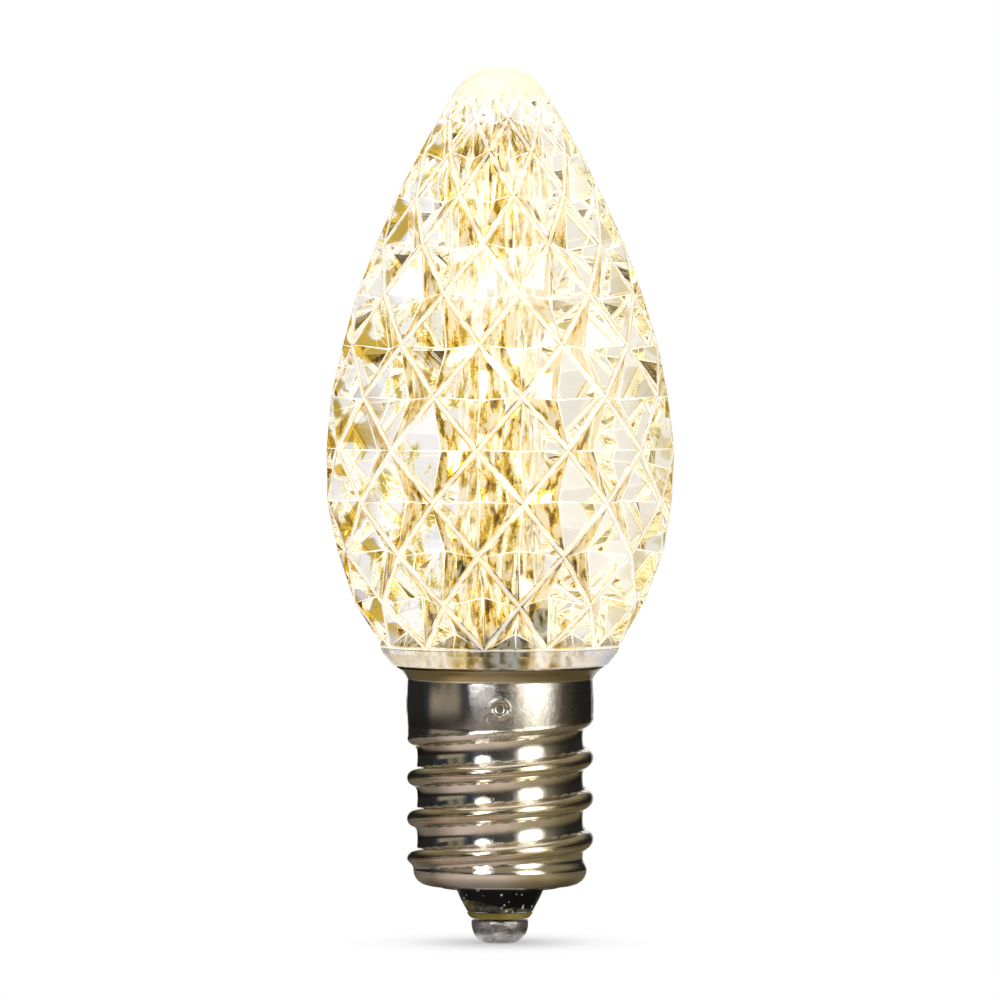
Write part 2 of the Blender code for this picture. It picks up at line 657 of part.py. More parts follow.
def add_lead(name, points, material):
    """A round wire through the points, as a curve with closed ends."""
    path = bpy.data.curves.new(name, "CURVE")
    path.dimensions = "3D"
    path.resolution_u = 4
    path.bevel_depth = LEAD_RADIUS
    path.bevel_resolution = 2
    path.use_fill_caps = True
    spline = path.splines.new("BEZIER")
    spline.bezier_points.add(len(points) - 1)
    for knot, place in zip(spline.bezier_points, points):
        knot.co = place
        knot.handle_left_type = "AUTO"
        knot.handle_right_type = "AUTO"
    add_object(name, path, material)


def add_joint(name, side, face, material):
    """A cone of solder round the lead where it comes through the board."""
    base = BOARD_FACE + CONTACT_GAP
    bore = LEAD_RADIUS + HOLE_GAP / 2
    outline = [
        (bore, base + JOINT_HEIGHT),
        (bore + HOLE_GAP, base + JOINT_HEIGHT),
        (bore + 2 * HOLE_GAP, base + JOINT_HEIGHT / 2),
        (JOINT_RADIUS, base),
        (bore, base),
    ]
    bm = spun(ring_profile(outline), JOINT_STEPS)
    quarter_turn = Matrix.Rotation(math.radians(-90 * face), 3, "X")
    bmesh.ops.rotate(bm, verts=bm.verts, cent=(0, 0, 0), matrix=quarter_turn)
    bmesh.ops.translate(bm, vec=(side, 0, HOLE_LEVEL), verts=bm.verts)
    add_object(name, mesh_of(name, bm, 50), material)


def add_leads():
    """Two tinned wires: one from the board down the axis to the contact, and one out to
    the shell, pinched under the foot of the lens's neck."""
    tinned = finish("tinned_copper", (0.75, 0.74, 0.72), 0.3, metallic=1.0)
    solder = bpy.data.materials["solder"]
    stub = BOARD_FACE + CONTACT_GAP + JOINT_HEIGHT
    side = CENTRE_HOLE_SIDE
    bend = (BOARD_FOOT + INSULATOR_TOP) / 2
    centre_path = [
        (side, -stub, HOLE_LEVEL),
        (side, BOARD_FACE + SEAT_GAP, HOLE_LEVEL),
        (side / 2, BOARD_FACE + 3 * LEAD_RADIUS, BOARD_FOOT),
        (0, LEAD_RADIUS, bend),
        (0, 0, INSULATOR_TOP - EYELET_WALL),
        (0, 0, EYELET_FOOT),
    ]
    add_lead("centre_lead", centre_path, tinned)
    add_joint("centre_joint", side, -1, solder)

    side = SIDE_HOLE_SIDE
    wall = ROOT_RADIUS - SHELL_WALL - SEAT_GAP / 2 - LEAD_RADIUS
    pinch = THREAD_RADIUS - SHELL_WALL - SEAT_GAP - LEAD_RADIUS
    below_neck = NECK_FOOT - CONTACT_GAP - LEAD_RADIUS
    side_path = [
        (side, stub, HOLE_LEVEL),
        (side, -BOARD_FACE - SEAT_GAP, HOLE_LEVEL),
        (side + JOINT_RADIUS, -BOARD_FACE - JOINT_HEIGHT, HOLE_LEVEL - JOINT_RADIUS / 2),
        tuple(on_axis(wall, SIDE_LEAD_DEGREES, HOLE_LEVEL)),
        tuple(on_axis(wall, SIDE_LEAD_DEGREES, (HOLE_LEVEL + below_neck) / 2)),
        tuple(on_axis(pinch, SIDE_LEAD_DEGREES, below_neck)),
    ]
    add_lead("side_lead", side_path, tinned)
    add_joint("side_joint", side, 1, solder)


clear_scene()
add_lens()
add_screw_shell()
add_insulator()
add_contact_eyelet()
add_solder_tip()
add_board_seat()
add_led_board()
add_leds()
add_rectifier()
add_chips()
add_leads()
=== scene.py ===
"""Looks of a lit LED Christmas bulb: a faceted clear lens on a nickel-plated screw base.

Metres, +Z up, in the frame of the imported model. The sections follow the bulb as it is put
together: the board and what it carries, the lens over it, then the screw base.
"""

import math

import bmesh
import bpy
from mathutils import Matrix, Vector, noise


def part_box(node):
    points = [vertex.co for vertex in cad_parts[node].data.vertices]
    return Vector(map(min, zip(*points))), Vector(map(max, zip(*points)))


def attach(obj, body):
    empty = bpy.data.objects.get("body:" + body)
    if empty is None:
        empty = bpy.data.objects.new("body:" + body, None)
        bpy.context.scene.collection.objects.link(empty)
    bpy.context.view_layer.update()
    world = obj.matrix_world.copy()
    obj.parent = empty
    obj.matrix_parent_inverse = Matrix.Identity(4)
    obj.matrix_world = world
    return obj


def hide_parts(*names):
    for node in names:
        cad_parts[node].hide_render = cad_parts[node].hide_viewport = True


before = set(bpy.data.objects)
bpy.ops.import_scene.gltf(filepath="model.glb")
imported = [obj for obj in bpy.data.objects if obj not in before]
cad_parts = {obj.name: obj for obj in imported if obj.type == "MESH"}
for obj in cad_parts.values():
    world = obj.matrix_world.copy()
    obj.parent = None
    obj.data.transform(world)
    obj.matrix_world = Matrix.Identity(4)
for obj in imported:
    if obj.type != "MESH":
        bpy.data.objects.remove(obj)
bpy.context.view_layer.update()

# The studio: a pale floor under the bulb and a white ground behind it, a softbox on each
# side of the camera, and round the bulb a tent of dark and pale cards that only mirrored
# rays see. The camera stands a little above the bulb's middle and looks along +Y.

MM = 0.001
CAMERA_DISTANCE = 481 * MM
CAMERA_RISE_DEGREES = 1.2
CAMERA_TARGET = (0, 0, 27.7 * MM)
CAMERA_LENS = 276.9
FLOOR_SIZE = 3.0
TENT_RADIUS = 160 * MM
TENT_HEIGHT = 260 * MM
TENT_OPENING_DEGREES = 34
TENT_FOOT = 0.2 * MM
TENT_INNER_RADIUS = 2 * MM
CARD_EDGE = 0.01
SHADOW_REACH = 10 * MM
SOFTBOX_RIGHT_DEGREES = (30, 54)
SOFTBOX_LEFT_DEGREES = (-30, -22)
POSTS_DEGREES = (-73, -57)
SEEN_RAYS = ("Is Camera Ray", "Is Glossy Ray", "Is Transmission Ray")


def node(tree, kind, inputs=None, **settings):
    """A shader node; an input is a value, or the output socket that feeds it."""
    made = tree.nodes.new("ShaderNode" + kind)
    for name, value in settings.items():
        setattr(made, name, value)
    for name, value in (inputs or {}).items():
        if isinstance(value, bpy.types.NodeSocket):
            tree.links.new(value, made.inputs[name])
        else:
            made.inputs[name].default_value = value
    return made


def math_node(tree, operation, *values, clamp=False):
    made = node(tree, "Math", dict(enumerate(values)), operation=operation, use_clamp=clamp)
    return made.outputs[0]


def times(tree, first, second):
    return math_node(tree, "MULTIPLY", first, second)


def scaled(tree, value, factor, shift):
    """The value times a factor, plus a shift."""
    return math_node(tree, "MULTIPLY_ADD", value, factor, shift)


def mottle(tree, where, scale, detail=2.0, roughness=0.5):
    """Smooth noise round 0.5, finer with a larger scale."""
    return node(tree, "TexNoise", {"Vector": where, "Scale": scale, "Detail": detail,
                                   "Roughness": roughness}).outputs["Fac"]


def ramp(tree, value, *stops, smooth=True):
    """A colour ramp over (place, grey or colour) stops."""
    made = node(tree, "ValToRGB", {0: value})
    made.color_ramp.interpolation = "EASE" if smooth else "LINEAR"
    elements = made.color_ramp.elements
    elements.remove(elements[1])
    elements[0].position = stops[0][0]
    for place, colour in stops:
        element = elements[0] if place == stops[0][0] else elements.new(place)
        element.color = (*colour, 1.0) if isinstance(colour, tuple) else (colour, colour, colour, 1.0)
    return made.outputs[0]


def layered(tree, colour, *layers):
    """The colour with others laid over it in turn, each as far as its mask goes."""
    for mask, over in layers:
        made = tree.nodes.new("ShaderNodeMix")
        made.data_type = "RGBA"
        for name, value in (("Factor_Float", mask), ("A_Color", colour), ("B_Color", over)):
            socket = next(s for s in made.inputs if s.identifier == name)
            if isinstance(value, bpy.types.NodeSocket):
                tree.links.new(value, socket)
            else:
                socket.default_value = (*value, 1.0) if isinstance(value, tuple) else value
        colour = next(s for s in made.outputs if s.identifier == "Result_Color")
    return colour


def object_point(tree):
    return node(tree, "TexCoord").outputs["Object"]


def split(tree, point):
    """A point as its X, Y and Z."""
    return node(tree, "SeparateXYZ", {0: point}).outputs


def turn_from_front(tree, place):
    """The turn about the axis in radians, 0 at the front and + to the right."""
    return math_node(tree, "ARCTAN2", place["X"], times(tree, place["Y"], -1.0))


def blank_material(name):
    """A new material's tree with no nodes in it but its output."""
    material = bpy.data.materials.new(name)
    material.use_nodes = True
    material.node_tree.nodes.clear()
    output = node(material.node_tree, "OutputMaterial")
    return material, material.node_tree, output


def light_path(tree, *kinds):
    """1 for the rays of these kinds."""
    path = node(tree, "LightPath")
    total = path.outputs[kinds[0]]
    for kind in kinds[1:]:
        total = math_node(tree, "ADD", total, path.outputs[kind], clamp=True)
    return total


def stage_object(name, bm, material):
    mesh = bpy.data.meshes.new(name)
    bm.to_mesh(mesh)
    bm.free()
    mesh.materials.append(material)
    made = bpy.data.objects.new(name, mesh)
    bpy.context.scene.collection.objects.link(made)
    return made


def add_camera():
    rise = math.radians(CAMERA_RISE_DEGREES)
    data = bpy.data.cameras.new("camera")
    data.lens = CAMERA_LENS
    data.sensor_width = 36.0
    camera = bpy.data.objects.new("camera", data)
    back = Vector((0, -math.cos(rise), math.sin(rise))) * CAMERA_DISTANCE
    camera.location = Vector(CAMERA_TARGET) + back
    camera.rotation_euler = (math.pi / 2 - rise, 0, 0)
    bpy.context.scene.collection.objects.link(camera)
    bpy.context.scene.camera = camera


def add_world():
    """White to the camera and to mirrored rays, and a plain light on everything else. Rays
    that come through the lens see white behind the bulb, gold on the camera's side, and
    patches of ochre and deeper gold at the left and the right."""
    world = bpy.data.worlds.new("studio_air")
    world.use_nodes = True
    bpy.context.scene.world = world
    tree = world.node_tree
    tree.nodes.clear()
    around = node(tree, "TexCoord").outputs["Generated"]
    direction = split(tree, around)
    room = ramp(tree, scaled(tree, direction["Y"], 0.5, 0.5),
                (0.20, (0.78, 0.56, 0.16)), (0.48, (0.95, 0.80, 0.46)), (0.60, (0.97, 0.94, 0.88)),
                (0.74, (0.82, 0.84, 1.06)), (0.88, (0.86, 0.88, 1.06)), (0.955, (1.04, 1.04, 1.08)))
    patches = mottle(tree, around, 3.2, 3.0)
    left = ramp(tree, times(tree, direction["X"], -1.0), (0.50, 0.0), (0.80, 1.0))
    ochre = ramp(tree, patches, (0.40, (0.52, 0.44, 0.20)), (0.50, (0.88, 0.76, 0.46)),
                 (0.60, (0.98, 0.93, 0.80)))
    right = ramp(tree, direction["X"], (0.40, 0.0), (0.70, 1.0))
    gold = ramp(tree, patches, (0.44, (0.20, 0.11, 0.008)), (0.52, (0.66, 0.44, 0.07)),
                (0.60, (0.97, 0.88, 0.62)))
    room = layered(tree, room, (left, ochre), (right, gold))
    ground = layered(tree, (1.0, 1.0, 1.0), (light_path(tree, "Is Transmission Ray"), room))
    shown = node(tree, "Background", {"Color": ground, "Strength": 1.0})
    lit = node(tree, "Background", {"Color": (0.96, 0.98, 1.0, 1.0), "Strength": 0.75})
    mixed = node(tree, "MixShader", {0: light_path(tree, *SEEN_RAYS), 1: lit.outputs[0],
                                     2: shown.outputs[0]})
    node(tree, "OutputWorld", {"Surface": mixed.outputs[0]})


def add_floor():
    """A white floor with a painted shadow under the bulb, drawn from ambient occlusion, and
    plain white to the camera where nothing is near it. Through the lens it is a pale grey all
    over."""
    material, tree, output = blank_material("floor_white")
    paper = node(tree, "BsdfDiffuse", {"Color": (0.9, 0.9, 0.9, 1.0)})
    # Painted shadow: the emission darkens where ambient occlusion finds the bulb near.
    occluded = node(tree, "AmbientOcclusion", {"Distance": SHADOW_REACH}).outputs["AO"]
    shade = layered(tree, ramp(tree, occluded, (0.0, 0.45), (0.9, 1.0)),
                    (light_path(tree, "Is Transmission Ray"), (0.93, 0.92, 0.96)))
    shaded = node(tree, "Emission", {"Color": shade, "Strength": 1.0})
    mixed = node(tree, "MixShader", {0: light_path(tree, *SEEN_RAYS), 1: paper.outputs[0],
                                     2: shaded.outputs[0]})
    tree.links.new(mixed.outputs[0], output.inputs["Surface"])
    bm = bmesh.new()
    bmesh.ops.create_grid(bm, x_segments=1, y_segments=1, size=FLOOR_SIZE / 2)
    stage_object("floor", bm, material)


def card(tree, along, above, low_degrees, high_degrees, foot, top, blur):
    """1 on the part of the tent's wall between two azimuths and two heights."""
    soft = blur / 360
    low = 0.5 + low_degrees / 360
    high = 0.5 + high_degrees / 360
    sideways = ramp(tree, along, (low - soft, 0.0), (low + soft, 1.0), (high - soft, 1.0),
                    (high + soft, 0.0))
    upright = ramp(tree, above, (foot - CARD_EDGE, 0.0), (foot + CARD_EDGE, 1.0),
                   (top - CARD_EDGE, 1.0), (top + CARD_EDGE, 0.0))
    return times(tree, sideways, upright)


def add_tent():
    """The cards round the bulb, open behind it, which only mirrored rays see: dark walls
    that pale upwards, two softboxes, a pale sill with two posts on the left, and a table.
    The table is painted darker round the bulb, a painted shadow, and dimmer far out."""
    material, tree, output = blank_material("tent_cards")
    where = object_point(tree)
    place = split(tree, where)
    along = scaled(tree, turn_from_front(tree, place), 0.5 / math.pi, 0.5)
    above = math_node(tree, "DIVIDE", place["Z"], TENT_HEIGHT)
    walls = ramp(tree, along, (0.0, 0.020), (0.20, 0.020), (0.215, (0.028, 0.032, 0.040)),
                 (0.38, (0.030, 0.036, 0.047)), (0.42, (0.10, 0.115, 0.15)), (0.45, (0.03, 0.03, 0.033)),
                 (0.55, (0.09, 0.088, 0.084)), (0.66, (0.28, 0.25, 0.19)), (0.75, (0.05, 0.045, 0.035)),
                 (0.80, 0.020))
    pane = card(tree, along, above, -72, -50, 0.045, 0.20, 6)
    walls = layered(tree, walls, (pane, (0.12, 0.11, 0.09)))
    for middle in POSTS_DEGREES:
        post = card(tree, along, above, middle - 3, middle + 3, 0.045, 0.20, 4)
        walls = layered(tree, walls, (times(tree, post, 0.6), (0.30, 0.28, 0.22)))
    sill = card(tree, along, above, -94, -50, 0.005, 0.070, 6)
    haze = ramp(tree, above, (0.14, 0.0), (0.45, 1.0))
    left = card(tree, along, above, *SOFTBOX_LEFT_DEGREES, 0.13, 0.50, 2)
    right = card(tree, along, above, *SOFTBOX_RIGHT_DEGREES, -0.5, 0.50, 3)
    walls = layered(tree, walls, (sill, (0.30, 0.27, 0.21)), (haze, (0.27, 0.23, 0.145)),
                    (left, (12.0, 12.0, 12.4)), (right, (5.0, 4.9, 4.7)))
    table = ramp(tree, along, (0.0, (0.10, 0.085, 0.06)), (0.22, (0.20, 0.17, 0.14)),
                 (0.36, (0.58, 0.48, 0.43)), (0.50, (0.60, 0.51, 0.42)), (0.62, (0.38, 0.32, 0.20)),
                 (0.80, (0.15, 0.125, 0.075)))
    reach = node(tree, "VectorMath", {0: where}, operation="LENGTH").outputs["Value"]
    reach = math_node(tree, "DIVIDE", reach, TENT_RADIUS)
    # The table's painted shade: dark round the bulb for its shadow, and fading far out.
    painted_shade_by_reach = ramp(tree, reach, (0.025, 0.35), (0.09, 1.0), (0.30, 1.0), (0.55, 0.08))
    table = layered(tree, (0.0, 0.0, 0.0), (painted_shade_by_reach, table))
    low = math_node(tree, "LESS_THAN", place["Z"], 2 * TENT_FOOT)
    lit = node(tree, "Emission", {"Color": layered(tree, walls, (low, table)), "Strength": 1.0})
    tree.links.new(lit.outputs[0], output.inputs["Surface"])
    bm = bmesh.new()
    corners = ((TENT_INNER_RADIUS, TENT_FOOT), (TENT_RADIUS, TENT_FOOT), (TENT_RADIUS, TENT_HEIGHT))
    points = [bm.verts.new((0, radius, height)) for radius, height in corners]
    edges = [bm.edges.new(pair) for pair in zip(points, points[1:])]
    opening = math.radians(TENT_OPENING_DEGREES)
    bmesh.ops.rotate(bm, verts=points, cent=(0, 0, 0), matrix=Matrix.Rotation(opening / 2, 3, "Z"))
    bmesh.ops.spin(bm, geom=points + edges, cent=(0, 0, 0), axis=(0, 0, 1),
                   angle=2 * math.pi - opening, steps=96)
    tent = stage_object("tent", bm, material)
    tent.visible_camera = False
    tent.visible_diffuse = False
    tent.visible_transmission = False
    tent.visible_shadow = False


def add_softbox(name, azimuth, elevation, distance, width, height, radiance):
    """A rectangular lamp that faces the bulb; azimuth 0 is at the camera, + to the right."""
    data = bpy.data.lights.new(name, "AREA")
    data.shape = "RECTANGLE"
    data.size = width
    data.size_y = height
    data.energy = radiance * math.pi * width * height
    lamp = bpy.data.objects.new(name, data)
    turn, tilt = math.radians(azimuth), math.radians(elevation)
    towards = Vector((math.sin(turn) * math.cos(tilt), -math.cos(turn) * math.cos(tilt), math.sin(tilt)))
    lamp.location = Vector(CAMERA_TARGET) + towards * distance
    lamp.rotation_euler = towards.to_track_quat("Z", "Y").to_euler()
    lamp.visible_glossy = False
    bpy.context.scene.collection.objects.link(lamp)


add_camera()
add_world()
add_floor()
add_tent()
add_softbox("key_softbox", azimuth=46, elevation=4, distance=0.6, width=0.28, height=0.55, radiance=3.2)
add_softbox("fill_softbox", azimuth=-27, elevation=12, distance=0.6, width=0.05, height=0.42, radiance=2.0)
bpy.context.scene.view_settings.view_transform = "Standard"
bpy.context.scene.cycles.max_bounces = 40
bpy.context.scene.cycles.glossy_bounces = 24
bpy.context.scene.cycles.transmission_bounces = 30

# The board and its seat. A narrow strip of glass-epoxy laminate under white solder mask
# stands upright in a slot of the white nylon disc that is pushed into the neck of the lens.

LAMINATE_SKIN = 0.06 * MM
TRACK_WIDTH = 0.5 * MM
TRACK_PLACES = (-1.9 * MM, 0.0, 1.9 * MM)

board_low, board_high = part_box("led_board")


def grain_group():
    """A moulded or masked skin: a fine even grain with a few broader clouds."""
    group = bpy.data.node_groups.new("fine_grain", "ShaderNodeTree")
    group.interface.new_socket("Scale", in_out="INPUT", socket_type="NodeSocketFloat")
    group.interface.new_socket("Grain", in_out="OUTPUT", socket_type="NodeSocketFloat")
    group.interface.new_socket("Cloud", in_out="OUTPUT", socket_type="NodeSocketFloat")
    scale = group.nodes.new("NodeGroupInput").outputs["Scale"]
    where = object_point(group)
    cloud = mottle(group, where, times(group, scale, 0.09), 3.0)
    out = group.nodes.new("NodeGroupOutput")
    group.links.new(mottle(group, where, scale, 4.0, 0.65), out.inputs["Grain"])
    group.links.new(ramp(group, cloud, (0.38, 0.0), (0.66, 1.0)), out.inputs["Cloud"])
    return group


FINE_GRAIN = grain_group()


def grained(tree, scale):
    """Places the fine grain group, at so many grains a metre."""
    made = tree.nodes.new("ShaderNodeGroup")
    made.node_tree = FINE_GRAIN
    made.inputs["Scale"].default_value = scale
    return made.outputs["Grain"], made.outputs["Cloud"]


def dress(name, material):
    """Gives a CAD node that stays in view its finish."""
    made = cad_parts[name]
    for slot in made.material_slots:
        slot.material = material


def surface(tree, output, colour, roughness, height, depth, strength=0.6, **settings):
    """A Principled surface whose bumps are so many millimetres deep."""
    normal = node(tree, "Bump", {"Height": height, "Strength": strength, "Distance": depth * MM})
    inputs = {"Base Color": colour, "Roughness": roughness, "Normal": normal.outputs[0]}
    inputs.update({name.replace("_", " "): value for name, value in settings.items()})
    shader = node(tree, "BsdfPrincipled", inputs)
    tree.links.new(shader.outputs[0], output.inputs["Surface"])


def masked_laminate():
    """White solder mask with a painted warm glow that stands for the LEDs' light washing
    over it, and the tracks raised under it; bare yellow laminate at the cut edges."""
    material, tree, output = blank_material("masked_laminate")
    across = split(tree, object_point(tree))["X"]
    grain, cloud = grained(tree, 9000.0)
    half_width = (board_high.x - board_low.x) / 2
    off_edge = math_node(tree, "SUBTRACT", half_width, math_node(tree, "ABSOLUTE", across))
    cut = math_node(tree, "LESS_THAN", off_edge, LAMINATE_SKIN)
    raised = 0.0
    for track in TRACK_PLACES:
        away = math_node(tree, "ABSOLUTE", math_node(tree, "SUBTRACT", across, track))
        raised = math_node(tree, "ADD", raised, math_node(tree, "LESS_THAN", away, TRACK_WIDTH / 2))
    colour = layered(tree, (0.86, 0.82, 0.70), (cloud, (0.80, 0.76, 0.62)),
                     (times(tree, raised, 0.25), (0.88, 0.84, 0.74)), (cut, (0.62, 0.56, 0.30)))
    # The emission here is a painted glow: the board itself is no lamp.
    surface(tree, output, colour, scaled(tree, grain, 0.15, 0.30), scaled(tree, grain, 0.2, raised),
            depth=0.03, Emission_Color=(1.0, 0.76, 0.36, 1.0), Emission_Strength=0.28)
    return material


def even_finish(name, grains, body, patches, roughness, spread=0.2, depth=0.03, **settings):
    """A fine grain, rougher on its high spots, over a body colour with patches of another."""
    material, tree, output = blank_material(name)
    grain, cloud = grained(tree, grains)
    colour = layered(tree, body, (cloud, patches))
    rough = scaled(tree, grain, spread, roughness)
    surface(tree, output, colour, rough, grain, depth=depth, **settings)
    return material


WHITE_NYLON = even_finish("white_nylon", grains=7000.0, body=(0.86, 0.85, 0.82),
                          patches=(0.80, 0.78, 0.73), roughness=0.42, Subsurface_Weight=0.15)
dress("led_board", masked_laminate())
dress("board_seat", WHITE_NYLON)

# The LEDs. Six white moulded packages on tinned tabs, three up the front of the board and
# three up its back. Each has a cup filled with yellow phosphor over a blue chip, and is lit.

LED_EDGE = 0.12 * MM
LED_CUP_RIM = 0.35 * MM
LED_CUP_DRAFT = 0.22 * MM
LED_CUP_DEPTH = 0.35 * MM
LED_TAB_REACH = 0.18 * MM
LED_TAB_LENGTH = 4 * LED_TAB_REACH
LED_TAB_WIDTH = 1.7 * MM
LED_TAB_THICKNESS = 0.2 * MM
PHOSPHOR, TABS = 1, 2
LED_GLOW = 8.0


def piece(name, bm, materials, body, replaced, sharp_degrees=35, recalculate=True):
    """Finishes a mesh as a piece that rides on the body and stands for the CAD nodes."""
    if recalculate:
        bmesh.ops.recalc_face_normals(bm, faces=bm.faces)
    mesh = bpy.data.meshes.new(name)
    bm.to_mesh(mesh)
    bm.free()
    mesh.shade_smooth()
    mesh.set_sharp_from_angle(angle=math.radians(sharp_degrees))
    for material in materials:
        mesh.materials.append(material)
    made = bpy.data.objects.new(name, mesh)
    bpy.context.scene.collection.objects.link(made)
    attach(made, body)
    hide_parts(*replaced)
    return made


def add_block(bm, low, high, rounding):
    """A box between two corners, with its edges rounded over."""
    placed = Matrix.Translation((low + high) / 2) @ Matrix.Diagonal((*(high - low), 1.0))
    made = bmesh.ops.create_cube(bm, size=1.0, matrix=placed)["verts"]
    edges = list({edge for vert in made for edge in vert.link_edges})
    bmesh.ops.bevel(bm, geom=edges, offset=rounding, segments=2, profile=0.5, affect="EDGES", material=-1)


def led_package(low, high):
    outward = 1 if low.y > 0 else -1
    ends = Vector((0, 0, LED_TAB_REACH))
    bm = bmesh.new()
    add_block(bm, low + ends, high - ends, LED_EDGE)
    bm.normal_update()
    window = max(bm.faces, key=lambda f: f.calc_center_median().y * outward)
    bmesh.ops.inset_individual(bm, faces=[window], thickness=LED_CUP_RIM)
    bmesh.ops.inset_individual(bm, faces=[window], thickness=LED_CUP_DRAFT, depth=-LED_CUP_DEPTH)
    window.material_index = PHOSPHOR
    bmesh.ops.poke(bm, faces=[window], offset=LED_CUP_DEPTH / 2)
    moulding = set(bm.faces)
    foot = low.y if outward > 0 else high.y
    for end_low, end_high in ((low.z, low.z + LED_TAB_LENGTH), (high.z - LED_TAB_LENGTH, high.z)):
        corners = sorted((foot, foot + outward * LED_TAB_THICKNESS))
        add_block(bm, Vector((-LED_TAB_WIDTH / 2, corners[0], end_low)),
                  Vector((LED_TAB_WIDTH / 2, corners[1], end_high)), LED_TAB_THICKNESS / 5)
    for face in set(bm.faces) - moulding:
        face.material_index = TABS
    return bm


def lit_phosphor():
    """Phosphor in silicone, lit from under, with a little more glow on its grains."""
    material, tree, output = blank_material("lit_phosphor")
    grain, cloud = grained(tree, 12000.0)
    colour = layered(tree, (0.95, 0.72, 0.16), (cloud, (0.90, 0.62, 0.12)))
    glow = layered(tree, (1.0, 0.80, 0.48), (grain, (1.0, 0.88, 0.62)))
    surface(tree, output, colour, scaled(tree, grain, 0.2, 0.2), grain, depth=0.02,
            Emission_Color=glow, Emission_Strength=LED_GLOW)
    return material


TINNED = even_finish("tinned_copper", grains=6000.0, body=(0.78, 0.77, 0.75),
                     patches=(0.62, 0.60, 0.57), roughness=0.15, spread=0.25, depth=0.02, Metallic=1.0)
PACKAGE_WHITE = even_finish("led_package_white", grains=8000.0, body=(0.90, 0.88, 0.80),
                            patches=(0.86, 0.80, 0.66), roughness=0.35, depth=0.02)
PACKAGE_FINISHES = [PACKAGE_WHITE, lit_phosphor(), TINNED]
for number in range(1, 7):
    piece(f"led_package_{number}", led_package(*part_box(f"led_{number}")), PACKAGE_FINISHES,
          "root", [f"led_{number}"])

# The rectifier, the two dropping resistors and the capacitor. Moulded epoxy, glazed
# ceramic and tan ceramic, each with tinned metal at its two ends, soldered to the board.

CHIP_END = 1.15 * MM
RECTIFIER_LEG = 1.62 * MM


def ended(name, ends_from, body, patchy, roughness):
    """A component's body colour, and bright tin past this distance from its middle."""
    material, tree, output = blank_material(name)
    grain, cloud = grained(tree, 7000.0)
    reach = math_node(tree, "ABSOLUTE", split(tree, object_point(tree))["X"])
    end = math_node(tree, "GREATER_THAN", reach, ends_from)
    colour = layered(tree, body, (cloud, patchy), (end, (0.74, 0.73, 0.71)))
    surface(tree, output, colour, scaled(tree, grain, 0.2, roughness), grain, depth=0.03, Metallic=end)
    return material


chip_glaze = ended("resistor_glaze", CHIP_END, (0.03, 0.03, 0.035), (0.06, 0.06, 0.07), 0.22)
dress("resistor_1", chip_glaze)
dress("resistor_2", chip_glaze)
dress("capacitor", ended("capacitor_ceramic", CHIP_END, (0.45, 0.32, 0.19), (0.36, 0.26, 0.16), 0.45))
dress("rectifier", ended("black_epoxy", RECTIFIER_LEG, (0.025, 0.025, 0.026), (0.04, 0.04, 0.042), 0.42))

# The leads. Two tinned copper wires, soldered into holes at the board's foot: one runs down
# the axis to the centre contact, the other out under the neck to the shell.


def dull_solder():
    """Grey solder, streaked and puckered where it froze."""
    material, tree, output = blank_material("dull_solder")
    grain, cloud = grained(tree, 5200.0)
    leaning = node(tree, "Mapping", {"Vector": object_point(tree), "Scale": (1.0, 1.0, 2.6),
                                     "Rotation": (0.5, 0.35, 0.0)})
    pucker = node(tree, "TexNoise", {"Vector": leaning.outputs[0], "Scale": 1500.0, "Detail": 6.0,
                                     "Roughness": 0.62, "Distortion": 0.9}).outputs["Fac"]
    colour = ramp(tree, pucker, (0.36, (0.24, 0.235, 0.24)), (0.5, (0.60, 0.59, 0.60)),
                  (0.64, (0.96, 0.93, 0.92)))
    colour = layered(tree, colour, (times(tree, cloud, 0.6), (0.36, 0.32, 0.30)))
    surface(tree, output, colour, scaled(tree, grain, 0.22, 0.18), pucker, depth=0.10, Metallic=0.9)
    return material


SOLDER = dull_solder()
for name in ("centre_lead", "side_lead"):
    dress(name, TINNED)
for name in ("centre_joint", "side_joint"):
    dress(name, SOLDER)

# The faceted lens. One clear polycarbonate moulding: diamond pits sunk between crossing
# ribs, a smooth crown, a smooth flange over the shell's lip and a neck down inside it. The
# core pin leaves a fluted bore, whose flutes draw the light out in upright streaks. The
# bore's white glow and the gold of its streaks are painted light, and the facets and ribs
# carry painted gold, cream and glow too.

NOMINAL_GAP = 0.3 * MM
BELLY_RADIUS = 11.0 * MM
FOOT_RADIUS = 7.47 * MM
CROWN_RADIUS = 3.0 * MM
BELLY_RISE = 11.55 * MM
CROWN_HEIGHT = 1.86 * MM
EVEN_ROW_RADIUS = 6.2 * MM
SHOULDER_FULLNESS = 1.78
FACET_COLUMNS = 12
FACET_ROWS = 12
RIB_WIDTH = 0.34 * MM
RIB_ROUND = 0.05 * MM
CREASE_ROUND = 0.065 * MM
BORE, RIB_LAND, RIB_EDGE, FLANGE, CROWN, CREASE = 1, 2, 3, 4, 5, 6
PIT_SLOPE = 0.42
FLANGE_HEIGHT = 0.8 * MM
FLANGE_BAND = 0.35 * MM
FLANGE_RADIUS = 6.65 * MM
NECK_RADIUS = 5.3 * MM
NECK_BORE = 4.4 * MM
BORE_FOOT_RADIUS = 3.9 * MM
BORE_TOP_RADIUS = 3.6 * MM
BORE_TAPER = 7.0 * MM
LEDGE_HEIGHT = 1.2 * MM
TIP_WALL = 3.2 * MM
BORE_STEPS = 180
FLUTE_DEPTH = 0.30 * MM
FLUTE_SPREAD = 3.2
FLUTE_WANDER = 170.0
LENS_IOR = 1.585

